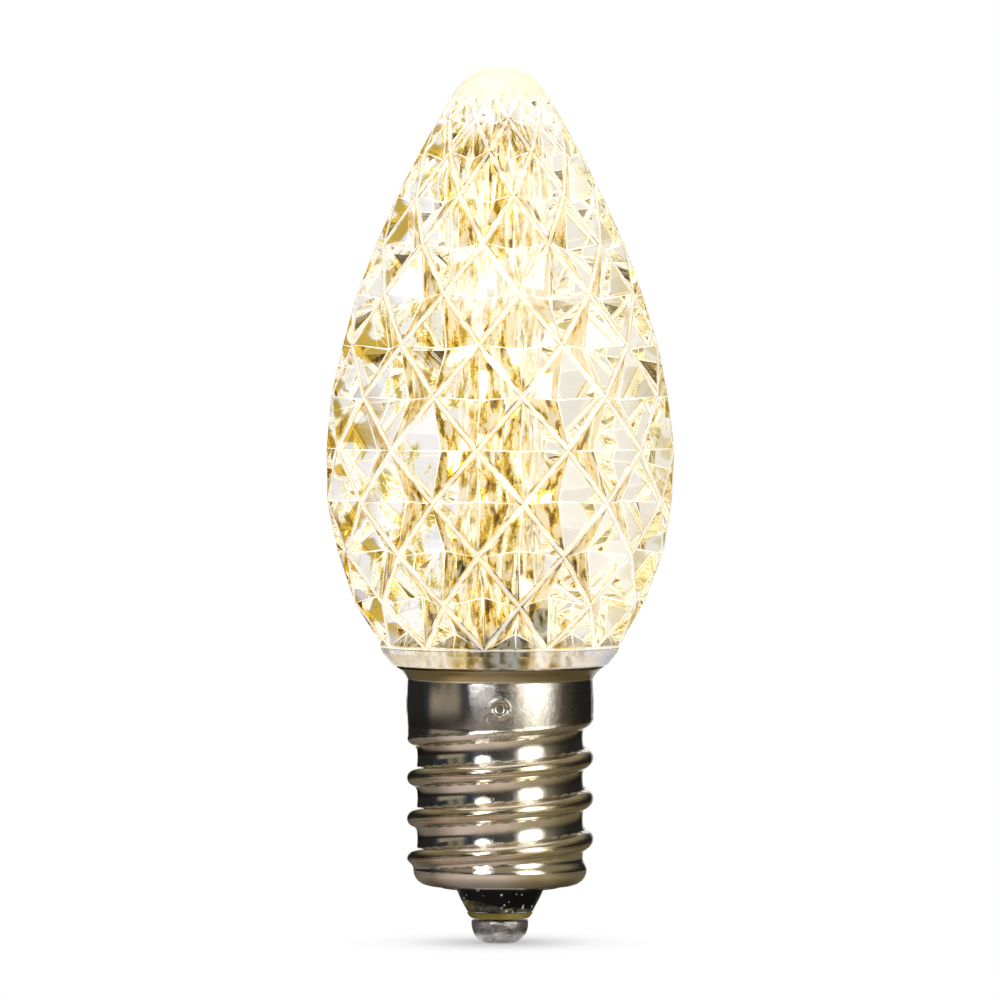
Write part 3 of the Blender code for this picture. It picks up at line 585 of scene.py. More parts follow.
lens_low, lens_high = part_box("lens")
shell_low, shell_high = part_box("screw_shell")
NECK_FOOT = lens_low.z
LENS_TOP = lens_high.z
FLANGE_FOOT = shell_high.z + NOMINAL_GAP
LENS_FOOT = FLANGE_FOOT + FLANGE_HEIGHT + FLANGE_BAND
BELLY_LEVEL = LENS_FOOT + BELLY_RISE
CROWN_FOOT = LENS_TOP - CROWN_HEIGHT
FACET_HEIGHT = CROWN_FOOT - LENS_FOOT
LEDGE_LEVEL = (NECK_FOOT + FLANGE_FOOT) / 2


def on_axis(radius, degrees, height):
    """The point at this radius and height, turned about the axis from -Y towards +X."""
    turn = math.radians(degrees)
    return Vector((radius * math.sin(turn), -radius * math.cos(turn), height))


def envelope(height):
    """The radius of the surface that the lens's ribs lie on."""
    if height < BELLY_LEVEL:
        half_height = BELLY_RISE / math.sqrt(1 - (FOOT_RADIUS / BELLY_RADIUS) ** 2)
        return BELLY_RADIUS * math.sqrt(1 - ((BELLY_LEVEL - height) / half_height) ** 2)
    share = (height - BELLY_LEVEL) / (CROWN_FOOT - BELLY_LEVEL)
    return BELLY_RADIUS - (BELLY_RADIUS - CROWN_RADIUS) * share**SHOULDER_FULLNESS


def row_levels():
    """Heights of the rows of rib crossings: even steps along the surface, closing up with
    the radius where the lens is narrower than EVEN_ROW_RADIUS."""
    slices = 400
    heights = [LENS_FOOT + FACET_HEIGHT * i / slices for i in range(slices + 1)]
    counted = [0.0]
    for low, high in zip(heights, heights[1:]):
        length = math.hypot(high - low, envelope(high) - envelope(low))
        middle = envelope((low + high) / 2)
        counted.append(counted[-1] + length / min(1.0, middle / EVEN_ROW_RADIUS))
    levels = []
    for row in range(FACET_ROWS + 1):
        wanted = counted[-1] * row / FACET_ROWS
        i = max(1, next(j for j, c in enumerate(counted) if c >= wanted - 1e-12))
        share = (wanted - counted[i - 1]) / (counted[i] - counted[i - 1])
        levels.append(heights[i - 1] + share * (heights[i] - heights[i - 1]))
    return levels


def extrude_ring(bm, edges, radius, height):
    """Draws the open ring of edges on to a new radius and height."""
    made = bmesh.ops.extrude_edge_only(bm, edges=edges)["geom"]
    for vert in [v for v in made if isinstance(v, bmesh.types.BMVert)]:
        flat = Vector((vert.co.x, vert.co.y, 0)).normalized() * radius
        vert.co = (flat.x, flat.y, height)
    return [e for e in made if isinstance(e, bmesh.types.BMEdge)]


def spun(profile, steps, start_degrees=0.0):
    """A bmesh turned about Z from (radius, height) points; the ends may lie on the axis."""
    bm = bmesh.new()
    points = [bm.verts.new((radius, 0.0, height)) for radius, height in profile]
    edges = [bm.edges.new(pair) for pair in zip(points, points[1:])]
    turn = Matrix.Rotation(math.radians(start_degrees), 3, "Z")
    bmesh.ops.rotate(bm, verts=points, cent=(0, 0, 0), matrix=turn)
    bmesh.ops.spin(bm, geom=points + edges, cent=(0, 0, 0), axis=(0, 0, 1),
                   angle=2 * math.pi, steps=steps, use_merge=True)
    bmesh.ops.remove_doubles(bm, verts=bm.verts, dist=0.001 * MM)
    return bm


def soften(bm, edges, radius, finish):
    """Rounds these edges over, and gives the rounded strips their own finish."""
    rounded = bmesh.ops.bevel(bm, geom=list(edges), offset=radius, segments=2, profile=0.5,
                              affect="EDGES", offset_type="OFFSET", material=-1)["faces"]
    for face in rounded:
        face.material_index = finish


def lens_outside():
    """The faceted skin from the crown down to the foot of the neck, open at the foot."""
    bm = bmesh.new()
    half_column = 180.0 / FACET_COLUMNS
    count = 2 * FACET_COLUMNS
    rows = []
    for row, level in enumerate(row_levels()):
        whole_ring = row in (0, FACET_ROWS)
        first = half_column * ((row % 2) - 0.5)
        ring = {}
        for step in range(0, count, 1 if whole_ring else 2):
            place = on_axis(envelope(level), first + step * half_column, level)
            ring[(step + row % 2) % count] = bm.verts.new(place)
        rows.append(ring)

    def at(row, place):
        return rows[row][place % count]

    diamonds = []
    for row in range(FACET_ROWS + 1):
        for column in range(FACET_COLUMNS):
            left = 2 * column + row % 2
            below = at(row - 1, left + 1) if row > 0 else at(row, left + 1)
            above = at(row + 1, left + 1) if row < FACET_ROWS else at(row, left + 1)
            diamonds.append(bm.faces.new((at(row, left), below, at(row, left + 2), above)))
    bm.normal_update()
    bmesh.ops.inset_individual(bm, faces=diamonds, thickness=RIB_WIDTH / 2, use_even_offset=True)
    for face in set(bm.faces) - set(diamonds):
        face.material_index = RIB_LAND
    pits = bmesh.ops.poke(bm, faces=diamonds, offset=-PIT_SLOPE, use_relative_offset=True,
                          center_mode="MEAN")
    creases = {edge for vert in pits["verts"] for edge in vert.link_edges}
    soften(bm, creases, CREASE_ROUND, CREASE)
    lips = [e for e in bm.edges if sum(face.material_index == RIB_LAND for face in e.link_faces) == 1
            and not e.is_boundary]
    soften(bm, lips, RIB_ROUND, RIB_EDGE)

    crown = [e for e in bm.edges if e.is_boundary and e.verts[0].co.z > BELLY_LEVEL]
    foot = [e for e in bm.edges if e.is_boundary and e.verts[0].co.z < BELLY_LEVEL]
    dome_radius = (CROWN_RADIUS**2 + CROWN_HEIGHT**2) / (2 * CROWN_HEIGHT)
    dome_turn = math.asin(CROWN_RADIUS / dome_radius)
    rings = 9
    for ring in range(1, rings):
        turn = dome_turn * (1 - ring / rings)
        drop = dome_radius * (1 - math.cos(turn))
        crown = extrude_ring(bm, crown, dome_radius * math.sin(turn), LENS_TOP - drop)
    cap = bmesh.ops.contextual_create(bm, geom=crown)["faces"]
    for vert in bmesh.ops.poke(bm, faces=cap)["verts"]:
        vert.co.z = LENS_TOP
    for radius, height in (
        (FOOT_RADIUS + 0.02 * MM, LENS_FOOT - 0.06 * MM),
        (FOOT_RADIUS - 0.10 * MM, LENS_FOOT - FLANGE_BAND),
        (FLANGE_RADIUS + 0.15 * MM, FLANGE_FOOT + 0.10 * MM),
        (FLANGE_RADIUS, FLANGE_FOOT),
        (NECK_RADIUS, FLANGE_FOOT),
        (NECK_RADIUS, NECK_FOOT),
    ):
        foot = extrude_ring(bm, foot, radius, height)
    for face in bm.faces:
        middle = face.calc_center_median().z
        if middle < LENS_FOOT - 0.01 * MM:
            face.material_index = FLANGE
        elif middle > CROWN_FOOT - RIB_WIDTH:
            face.material_index = CROWN
    return bm


def bore_profile():
    """The bore from the foot of the neck to its drawn-out end, as (radius, height)."""
    bore_top = LENS_TOP - TIP_WALL
    taper_foot = bore_top - BORE_TAPER
    fluted_from = LEDGE_LEVEL + LEDGE_HEIGHT
    points = [(NECK_BORE, NECK_FOOT), (NECK_BORE, LEDGE_LEVEL), (BORE_FOOT_RADIUS, LEDGE_LEVEL)]
    rows = 110
    for row in range(rows + 1):
        share = row / rows
        radius = BORE_FOOT_RADIUS + (BORE_TOP_RADIUS - BORE_FOOT_RADIUS) * share
        points.append((radius, fluted_from + (taper_foot - fluted_from) * share))
    steps = 24
    for step in range(1, steps + 1):
        turn = math.pi / 2 * step / steps
        points.append((BORE_TOP_RADIUS * math.cos(turn) ** 0.8, taper_foot + BORE_TAPER * math.sin(turn)))
    points[-1] = (0.0, bore_top)
    return points


def flute(bm):
    """Presses uneven upright flutes into the bore, fading out at its foot and its end."""
    fluted_from = LEDGE_LEVEL + LEDGE_HEIGHT
    for vert in bm.verts:
        flat = Vector((vert.co.x, vert.co.y, 0))
        if vert.co.z < fluted_from - 0.01 * MM or flat.length < FLUTE_DEPTH:
            continue
        inward = flat.normalized()
        coarse = noise.noise(inward * FLUTE_SPREAD + Vector((0, 0, vert.co.z * FLUTE_WANDER)))
        fine = noise.noise(inward * FLUTE_SPREAD * 2.7 + Vector((5, 3, vert.co.z * FLUTE_WANDER * 4)))
        wave = min(1.0, abs(coarse) * 1.8) + 0.25 * fine
        fade = min(1.0, flat.length / BORE_TOP_RADIUS)
        vert.co -= inward * FLUTE_DEPTH * wave * fade


def amber_cast(tree, output):
    """The thick plastic's own warm cast, deeper the longer the light has run inside it."""
    cast = node(tree, "VolumeAbsorption", {"Color": (1.0, 0.87, 0.36, 1.0), "Density": 5.0})
    tree.links.new(cast.outputs[0], output.inputs["Volume"])


def painted_glow_bore_material():
    """The bore's skin: a grain left by the spark-cut core pin, with a painted white glow on
    it that stands for the LEDs' light it scatters, strongest part way up and towards the
    front and back, and painted gold, olive and brown streaks, mostly on the left, that stand
    for the light its flutes gather."""
    material, tree, output = blank_material("lens_bore")
    where = object_point(tree)
    place = split(tree, where)
    grain = mottle(tree, where, 11000.0, 2.0, 0.7)
    turn = math_node(tree, "ARCTAN2", place["X"], place["Y"])
    bent = scaled(tree, mottle(tree, where, 420.0), 0.22, turn)
    spread = node(tree, "CombineXYZ", {"X": times(tree, bent, 2.9), "Y": times(tree, place["Z"], 300.0)})
    fibres = mottle(tree, spread.outputs[0], 2.2, 2.0, 0.55)
    jagged = scaled(tree, math_node(tree, "SUBTRACT", grain, 0.5), 0.42, fibres)
    patches = scaled(tree, place["X"], -14.0, mottle(tree, where, 210.0))
    there = ramp(tree, patches, (0.38, 0.0), (0.46, 1.0))
    # Masks for the painted streaks of gathered light, each darker colour inside the last.
    halo, gold, olive, brown = (
        times(tree, ramp(tree, jagged, (low, 0.0), (low + 0.02, 1.0), smooth=False), there)
        for low in (0.47, 0.525, 0.56, 0.615))
    # The painted glow's strength: by height, and more towards the front and back of the bore.
    level = ramp(tree, math_node(tree, "DIVIDE", place["Z"], LENS_TOP), (0.30, 0.70), (0.50, 0.85),
                 (0.62, 1.0), (0.84, 1.0), (0.93, 0.75))
    facing = math_node(tree, "DIVIDE", math_node(tree, "ABSOLUTE", place["Y"]), BORE_FOOT_RADIUS)
    facing = scaled(tree, math_node(tree, "POWER", facing, 2.0), 0.85, 0.20)
    painted_veil = times(tree, times(tree, level, facing), scaled(tree, grain, 0.6, 0.70))
    colour = layered(tree, (0.96, 0.95, 0.93), (painted_veil, (0.36, 0.35, 0.33)), (halo, (0.92, 0.72, 0.20)),
                     (gold, (0.66, 0.39, 0.006)), (olive, (0.22, 0.12, 0.002)),
                     (brown, (0.04, 0.020, 0.001)))
    glow = layered(tree, (0.54, 0.52, 0.46), (halo, (0.42, 0.34, 0.09)), (gold, (0.12, 0.080, 0.001)),
                   (olive, (0.02, 0.012, 0.0)))
    surface(tree, output, colour, 0.04, grain, depth=0.05, strength=0.12, IOR=LENS_IOR,
            Transmission_Weight=1.0, Emission_Color=layered(tree, (0.0, 0.0, 0.0), (painted_veil, glow)),
            Emission_Strength=1.0)
    amber_cast(tree, output)
    return material


def painted_gold_edges(tree, tint):
    """The ribs' edges with the bore's gold light painted on them here and there along their length."""
    patch = mottle(tree, object_point(tree), 500.0, 3.0, 0.7)
    return layered(tree, (1.0, 1.0, 1.0), (ramp(tree, patch, (0.50, 0.0), (0.60, 1.0)), tint))


def radius_from_axis(tree, place):
    squares = [times(tree, place[name], place[name]) for name in ("X", "Y")]
    return math_node(tree, "POWER", math_node(tree, "ADD", *squares), 0.5)


def gold_strokes(tree, where, place, patches):
    """Masks for ragged upright strokes of painted gold light and for their olive hearts,
    from the left of the lens to just past its middle."""
    turn = turn_from_front(tree, place)
    spread = node(tree, "CombineXYZ", {"X": times(tree, turn, 8.0), "Y": times(tree, place["Z"], 210.0)})
    grain = math_node(tree, "SUBTRACT", mottle(tree, where, 9000.0), 0.5)
    strokes = scaled(tree, grain, 0.30, mottle(tree, spread.outputs[0], 2.2, 3.0, 0.6))
    left_half = ramp(tree, scaled(tree, turn, 0.5 / math.pi, 0.5), (0.31, 0.0), (0.35, 1.0),
                     (0.50, 1.0), (0.55, 0.0))
    there = times(tree, ramp(tree, patches, (0.40, 0.0), (0.46, 1.0)), left_half)
    return [times(tree, ramp(tree, strokes, (low, 0.0), (low + 0.03, 1.0)), there)
            for low in (0.52, 0.575)]


def warmed_facets(tree, tint):
    """The facets' tint with the bore's gold light painted on it: cream in patches and on the
    right, gold strokes on the left, amber blots towards either side. The lowest row is
    painted greyer, a painted shade for the flange over it."""
    where = object_point(tree)
    place = split(tree, where)
    side = math_node(tree, "DIVIDE", place["X"], radius_from_axis(tree, place))
    patches = mottle(tree, where, 330.0, 1.0)
    gold, olive = gold_strokes(tree, where, place, patches)
    blots = ramp(tree, mottle(tree, where, 520.0, 1.0), (0.47, 0.0), (0.55, 1.0))
    left = ramp(tree, times(tree, side, -1.0), (0.66, 0.0), (0.84, 1.0))
    right = ramp(tree, side, (0.72, 0.0), (0.90, 1.0))
    low = ramp(tree, math_node(tree, "DIVIDE", place["Z"], LENS_TOP), (0.343, 1.0), (0.362, 0.0))
    return layered(
        tree, tint,
        (ramp(tree, patches, (0.44, 0.0), (0.56, 0.8)), (0.98, 0.95, 0.81)),
        (ramp(tree, side, (0.20, 0.0), (0.60, 1.0)), (0.97, 0.93, 0.80)),
        (gold, (0.84, 0.62, 0.10)),
        (olive, (0.34, 0.20, 0.012)),
        (times(tree, left, blots), (0.36, 0.19, 0.006)),
        (times(tree, right, blots), (0.68, 0.56, 0.26)),
        (low, (0.50, 0.48, 0.41)))


def clear_lens_material(name, roughness, tint, glow, painted=None):
    """Clear polycarbonate, polished on the facets and left a little hazy on the ribs. The
    glow is a painted glow, as the plastic is no lamp. A function given as painted works the
    colour out from the tint."""
    material, tree, output = blank_material(name)
    ripple = mottle(tree, object_point(tree), 420.0, 3.0)
    colour = painted(tree, tint) if painted else (*tint, 1.0)
    surface(tree, output, colour, roughness, ripple, depth=0.1, strength=0.03, IOR=LENS_IOR,
            Transmission_Weight=1.0, Emission_Color=(1.0, 0.985, 0.95, 1.0), Emission_Strength=glow)
    amber_cast(tree, output)
    return material


def add_lens():
    bm = lens_outside()
    outer_faces = set(bm.faces)
    bore = spun(bore_profile(), BORE_STEPS)
    flute(bore)
    bore_mesh = bpy.data.meshes.new("lens_bore")
    bore.to_mesh(bore_mesh)
    bore.free()
    bm.from_mesh(bore_mesh)
    for face in bm.faces:
        if face not in outer_faces:
            face.material_index = BORE
    rings = [e for e in bm.edges if e.is_boundary]
    bmesh.ops.bridge_loops(bm, edges=rings)
    # The ribs, creases and crown carry a painted glow, and the rib edges painted gold light.
    materials = [clear_lens_material("lens_facets", 0.01, (0.99, 0.99, 0.99), 0.0, warmed_facets),
                 painted_glow_bore_material(),
                 clear_lens_material("lens_ribs", 0.30, (0.30, 0.30, 0.30), 0.56),
                 clear_lens_material("lens_rib_edges", 0.05, (0.86, 0.56, 0.10), 0.0, painted_gold_edges),
                 clear_lens_material("lens_flange", 0.22, (0.58, 0.61, 0.78), 0.0),
                 clear_lens_material("lens_crown", 0.22, (0.62, 0.56, 0.40), 0.30),
                 clear_lens_material("lens_creases", 0.20, (0.30, 0.30, 0.30), 0.70)]
    piece("faceted_lens", bm, materials, "root", ["lens"], sharp_degrees=12)


add_lens()

# The screw shell. Brass sheet drawn to a cup, rolled with a round right-hand thread, its
# foot turned in under the insulator and its mouth flared, then bright nickel plated. It is
# staked to the neck of the lens by four dimples round the plain collar.

THREAD_RADIUS = 5.85 * MM
THREAD_DEPTH = 0.65 * MM
THREAD_PITCH = 2.54 * MM
THREAD_START = 2.28 * MM
CREST_WIDTH = 1.25 * MM
ROOT_HOLLOW = 0.10
TOP_CREST = 3
SHELL_WALL = 0.25 * MM
LIP_HEIGHT = 0.5 * MM
LIP_FLARE = 0.68 * MM
LIP_GAP = 0.06 * MM
LIP_EDGE = 0.12 * MM
COLLAR_BARREL = 0.05 * MM
COLLAR_HEIGHT = 3.0 * MM
RIM_DEPTH = 0.4 * MM
RIM_ROUND = 1.0 * MM
RIM_WIDTH = 0.35 * MM
RIM_BLEND = 0.7 * MM
DIMPLE_RADIUS = 0.52 * MM
DIMPLE_DEPTH = 0.18 * MM
DIMPLE_RIM_RISE = 0.02 * MM
DIMPLE_PATCH = 2.2 * DIMPLE_RADIUS
DIMPLE_LEVEL = NECK_FOOT + 1.1 * MM
DIMPLES = 4
SHELL_STEPS = 180
ROWS_PER_PITCH = 36
FADE_FROM_DEGREES = 95.0
FADE_TO_DEGREES = 165.0
SPARKLE_FROM = -2.4 * MM
SPARKLE_TO = -0.9 * MM

SHELL_FOOT = shell_low.z
SHELL_TOP = shell_high.z
COLLAR_TOP = SHELL_TOP - LIP_HEIGHT
COLLAR_MIDDLE = COLLAR_TOP - COLLAR_HEIGHT / 2


def smoothstep(low, high, value):
    share = min(1.0, max(0.0, (value - low) / (high - low)))
    return share * share * (3 - 2 * share)


def angle_from_front(point):
    return math.degrees(math.atan2(point.x, -point.y))


def thread_inset(point):
    """How far the wall is pressed in at a point: nothing on top of a half-round crest, the
    full depth in the slightly hollow root between two crests. The top groove fades out
    round the back of the shell."""
    degrees = angle_from_front(point)
    turns = (point.z - SHELL_FOOT - THREAD_START) / THREAD_PITCH - degrees / 360
    if turns >= TOP_CREST:
        return COLLAR_BARREL * min(1.0, abs(point.z - COLLAR_MIDDLE) / (COLLAR_HEIGHT / 2)) ** 2
    off_crest = abs(turns - round(turns)) * THREAD_PITCH
    half_crest = CREST_WIDTH / 2
    ridge = max(0.0, 1 - (off_crest / half_crest) ** 2) ** 0.6
    off_root = max(0.0, 1 - off_crest / (THREAD_PITCH / 2)) / (1 - CREST_WIDTH / THREAD_PITCH)
    groove = (1 - ridge) * (1 - ROOT_HOLLOW * min(1.0, off_root) ** 2)
    if turns > TOP_CREST - 1:
        groove *= 1 - smoothstep(FADE_FROM_DEGREES, FADE_TO_DEGREES, degrees)
    foot = SHELL_FOOT + RIM_ROUND
    rolled = smoothstep(foot, foot + RIM_BLEND, point.z)
    return RIM_DEPTH * (1 - rolled) + THREAD_DEPTH * groove * rolled


def shell_profile():
    """The outline of the plain cup, from the flared mouth to the turned-in foot."""
    points = []
    lip_top = FLANGE_FOOT - LIP_GAP
    for share in (1.0, 0.75, 0.5, 0.25, 0.0):
        points.append((THREAD_RADIUS + LIP_FLARE * share**1.4, COLLAR_TOP + (lip_top - COLLAR_TOP) * share))
    foot = SHELL_FOOT + RIM_ROUND
    step = THREAD_PITCH / ROWS_PER_PITCH
    rows = round((COLLAR_TOP - foot) / step)
    for row in range(1, rows + 1):
        points.append((THREAD_RADIUS, COLLAR_TOP - (COLLAR_TOP - foot) * row / rows))
    for degrees in range(15, 91, 15):
        turn = math.radians(degrees)
        points.append((THREAD_RADIUS - RIM_DEPTH - RIM_ROUND * (1 - math.cos(turn)),
                       foot - RIM_ROUND * math.sin(turn)))
    points.append((THREAD_RADIUS - RIM_DEPTH - RIM_ROUND - RIM_WIDTH, SHELL_FOOT))
    return points


def press_dimples(bm):
    """Round staking dimples, on a patch of finer mesh, each with a slight raised rim."""
    centres = [on_axis(THREAD_RADIUS, 360 * i / DIMPLES, DIMPLE_LEVEL) for i in range(DIMPLES)]
    near = [e for e in bm.edges
            if min((v.co - c).length for v in e.verts for c in centres) < DIMPLE_PATCH]
    bmesh.ops.subdivide_edges(bm, edges=near, cuts=3, use_grid_fill=True)
    for vert in bm.verts:
        away = min((vert.co - c).length for c in centres) / DIMPLE_RADIUS
        if away < 2.6:
            inward = Vector((vert.co.x, vert.co.y, 0)).normalized()
            radius = THREAD_RADIUS - thread_inset(vert.co)
            vert.co = inward * radius + Vector((0, 0, vert.co.z))
            bowl = 1 - smoothstep(0.50, 0.95, away)
            rim = smoothstep(0.8, 1.05, away) * (1 - smoothstep(1.05, 1.5, away))
            vert.co -= inward * (DIMPLE_DEPTH * bowl - DIMPLE_RIM_RISE * rim)


def plating_marks_group():
    """What handling leaves on bright plating: fine specks, rub marks and faint tarnish."""
    group = bpy.data.node_groups.new("plating_marks", "ShaderNodeTree")
    group.interface.new_socket("Vector", in_out="INPUT", socket_type="NodeSocketVector")
    group.interface.new_socket("Grain", in_out="INPUT", socket_type="NodeSocketFloat")
    for name in ("Specks", "Rubs", "Tarnish"):
        group.interface.new_socket(name, in_out="OUTPUT", socket_type="NodeSocketFloat")
    given = group.nodes.new("NodeGroupInput")
    where = given.outputs["Vector"]
    grain = given.outputs["Grain"]
    specks = ramp(group, mottle(group, where, grain, 4.0, 0.7), (0.30, 0.0), (0.72, 1.0))
    rubs = ramp(group, mottle(group, where, times(group, grain, 0.08), 3.0), (0.40, 0.0), (0.66, 1.0))
    tarnish = ramp(group, mottle(group, where, times(group, grain, 0.03), 5.0), (0.45, 0.0), (0.70, 1.0))
    out = group.nodes.new("NodeGroupOutput")
    for name, value in (("Specks", specks), ("Rubs", rubs), ("Tarnish", tarnish)):
        group.links.new(value, out.inputs[name])
    return group


PLATING_MARKS = plating_marks_group()


def marked(tree, grain):
    """Places the plating marks group, at so many grains a metre, on Object coordinates."""
    made = tree.nodes.new("ShaderNodeGroup")
    made.node_tree = PLATING_MARKS
    tree.links.new(object_point(tree), made.inputs["Vector"])
    made.inputs["Grain"].default_value = grain
    return made.outputs


def between(tree, value, low, high, least=0.0):
    """How far the value has come from low, where this is least, to high, where it is 1."""
    return node(tree, "MapRange", {"Value": value, "From Min": low, "From Max": high,
                                   "To Min": least}).outputs[0]


def nickel_material():
    """Bright nickel, porous where the collar was drawn, its specks painted thinner towards the
    left, away from where the highlights fall. Yellower, more so in patches, and lined by the
    rolls along the thread's crests. The lip is painted khaki for the flange's shade and the
    lens's amber light over it, and its top edge painted dark, a painted shade under the flange."""
    material, tree, output = blank_material("nickel_plate")
    marks = marked(tree, 15000.0)
    place = split(tree, object_point(tree))
    turns = math_node(tree, "DIVIDE", turn_from_front(tree, place), 2 * math.pi)
    above_start = math_node(tree, "SUBTRACT", place["Z"], SHELL_FOOT + THREAD_START)
    phase = math_node(tree, "SUBTRACT", math_node(tree, "DIVIDE", above_start, THREAD_PITCH), turns)
    rolled = node(tree, "CombineXYZ", {"X": phase, "Y": times(tree, turns, 0.35)})
    lines = mottle(tree, rolled.outputs[0], 30.0, 3.0, 0.6)
    below_collar = math_node(tree, "LESS_THAN", phase, TOP_CREST - 0.25)
    crest = between(tree, radius_from_axis(tree, place), THREAD_RADIUS - 0.3 * THREAD_DEPTH,
                    THREAD_RADIUS - 0.05 * THREAD_DEPTH)
    crest = times(tree, crest, below_collar)
    # The crests are painted yellower, more so in patches.
    yellowed_crests = times(tree, crest, scaled(tree, marks["Rubs"], 0.4, 0.6))
    streaks = times(tree, crest, ramp(tree, lines, (0.42, 1.0), (0.52, 0.0)))
    # Painted light: the lip's khaki stands for the flange's shade and the lens's amber light, and the dark
    # edge at its top for shade under the flange.
    lip_painted_khaki = math_node(tree, "GREATER_THAN", place["Z"], COLLAR_TOP)
    edge = math_node(tree, "GREATER_THAN", place["Z"], FLANGE_FOOT - LIP_GAP - LIP_EDGE)
    # The specks are real porosity, painted thinner towards the left, where the highlights don't fall.
    sparkle = between(tree, place["X"], SPARKLE_FROM, SPARKLE_TO, 0.2)
    specks = times(tree, marks["Specks"], sparkle)
    drawn = times(tree, specks, scaled(tree, below_collar, -0.6, 1.0))
    plate = layered(
        tree, (0.88, 0.84, 0.77),
        (marks["Tarnish"], (0.80, 0.72, 0.58)),
        (yellowed_crests, (0.74, 0.64, 0.45)),
        (times(tree, streaks, 0.55), (0.20, 0.16, 0.10)),
        (lip_painted_khaki, (0.54, 0.45, 0.22)),
        (edge, (0.16, 0.11, 0.04)),
        (ramp(tree, drawn, (0.35, 0.0), (0.62, 1.0)), (0.44, 0.41, 0.36)))
    rough = scaled(tree, times(tree, marks["Rubs"], sparkle), 0.06, scaled(tree, specks, 0.05, 0.02))
    surface(tree, output, plate, rough, scaled(tree, streaks, -0.6, drawn), depth=0.015, strength=0.35,
            Metallic=1.0)
    return material


def add_screw_shell():
    bm = spun(shell_profile(), SHELL_STEPS, start_degrees=90.0)
    bmesh.ops.recalc_face_normals(bm, faces=bm.faces)
    # The cup is still open at both ends, so its normals are turned to face outwards here.
    widest = max(bm.faces, key=lambda f: f.calc_center_median().xy.length)
    if widest.normal.xy.dot(widest.calc_center_median().xy) < 0:
        bmesh.ops.reverse_faces(bm, faces=bm.faces)
    rolled_foot = SHELL_FOOT + RIM_ROUND
    for vert in bm.verts:
        if rolled_foot - 0.01 * MM <= vert.co.z < COLLAR_TOP:
            inward = Vector((vert.co.x, vert.co.y, 0)).normalized()
            vert.co -= inward * thread_inset(vert.co)
    press_dimples(bm)
    shell = piece("plated_shell", bm, [nickel_material()], "root", ["screw_shell"],
                  sharp_degrees=50, recalculate=False)
    wall = shell.modifiers.new("wall", "SOLIDIFY")
    wall.thickness = SHELL_WALL
    wall.offset = -1.0
    wall.use_even_offset = False


add_screw_shell()

# The insulator. Black glass, poured and pressed to a disc inside the rim, with a conical
# boss through it that carries the centre contact. Glossy, speckled and slightly uneven.

INSULATOR_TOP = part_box("insulator")[1].z
BOSS_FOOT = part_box("insulator")[0].z
BOSS_TOP_RADIUS = 2.80 * MM
BOSS_FOOT_RADIUS = 2.08 * MM
INSULATOR_RADIUS = 4.65 * MM
EYELET_BORE = 0.95 * MM
ROUND_STEPS = 72
FACE_RADIUS = 3.7 * MM
FACE_DROP = 0.15 * MM
FLUX_TOP = 2.72 * MM
FLUX_FADE = 0.12 * MM


def roughen(bm, low, high, strength, scale):
    """Moves the points between two levels in or out by a smooth noise."""
    for vert in bm.verts:
        if low < vert.co.z < high and vert.co.xy.length > EYELET_BORE:
            wander = noise.noise(vert.co * scale)
            flat = Vector((vert.co.x, vert.co.y, 0)).normalized()
            vert.co += flat * wander * strength


def black_glass_material():
    """Black glass with white specks painted on as glints, where small chips would catch the
    softboxes, and with a brown film of dried flux that has run up one side of the boss."""
    material, tree, output = blank_material("black_glass")
    marks = marked(tree, 5200.0)
    where = object_point(tree)
    place = split(tree, where)
    ragged = scaled(tree, mottle(tree, where, 700.0, 3.0), 0.5 * MM, place["Z"])
    film = between(tree, scaled(tree, place["X"], 0.15, ragged), FLUX_TOP, FLUX_TOP - FLUX_FADE)
    pooled = between(tree, place["X"], -1.2 * MM, -2.2 * MM)
    cloud = mottle(tree, where, 1500.0, 6.0, 0.65)
    flux = ramp(tree, cloud, (0.3, (0.012, 0.012, 0.011)), (0.5, (0.06, 0.058, 0.045)),
                (0.7, (0.26, 0.21, 0.09)))
    thin = ramp(tree, cloud, (0.38, 0.0), (0.52, 1.0))
    film = times(tree, film, math_node(tree, "MAXIMUM", thin, pooled))
    # Painted highlights: white dots that stand for glints off small chips.
    cells = node(tree, "TexVoronoi", {"Vector": where, "Scale": 2600.0}).outputs["Distance"]
    painted_glint_dots = times(tree, math_node(tree, "LESS_THAN", cells, 0.22),
                 math_node(tree, "GREATER_THAN", marks["Rubs"], 0.25))
    flux = layered(tree, flux, (pooled, (0.16, 0.12, 0.03)))
    colour = layered(tree, (0.003, 0.003, 0.0035), (film, flux),
                     (times(tree, painted_glint_dots, 0.8), (0.75, 0.74, 0.70)))
    surface(tree, output, colour, scaled(tree, film, 0.22, 0.10), cloud, depth=0.05, strength=0.5,
            Specular_IOR_Level=0.35)
    return material


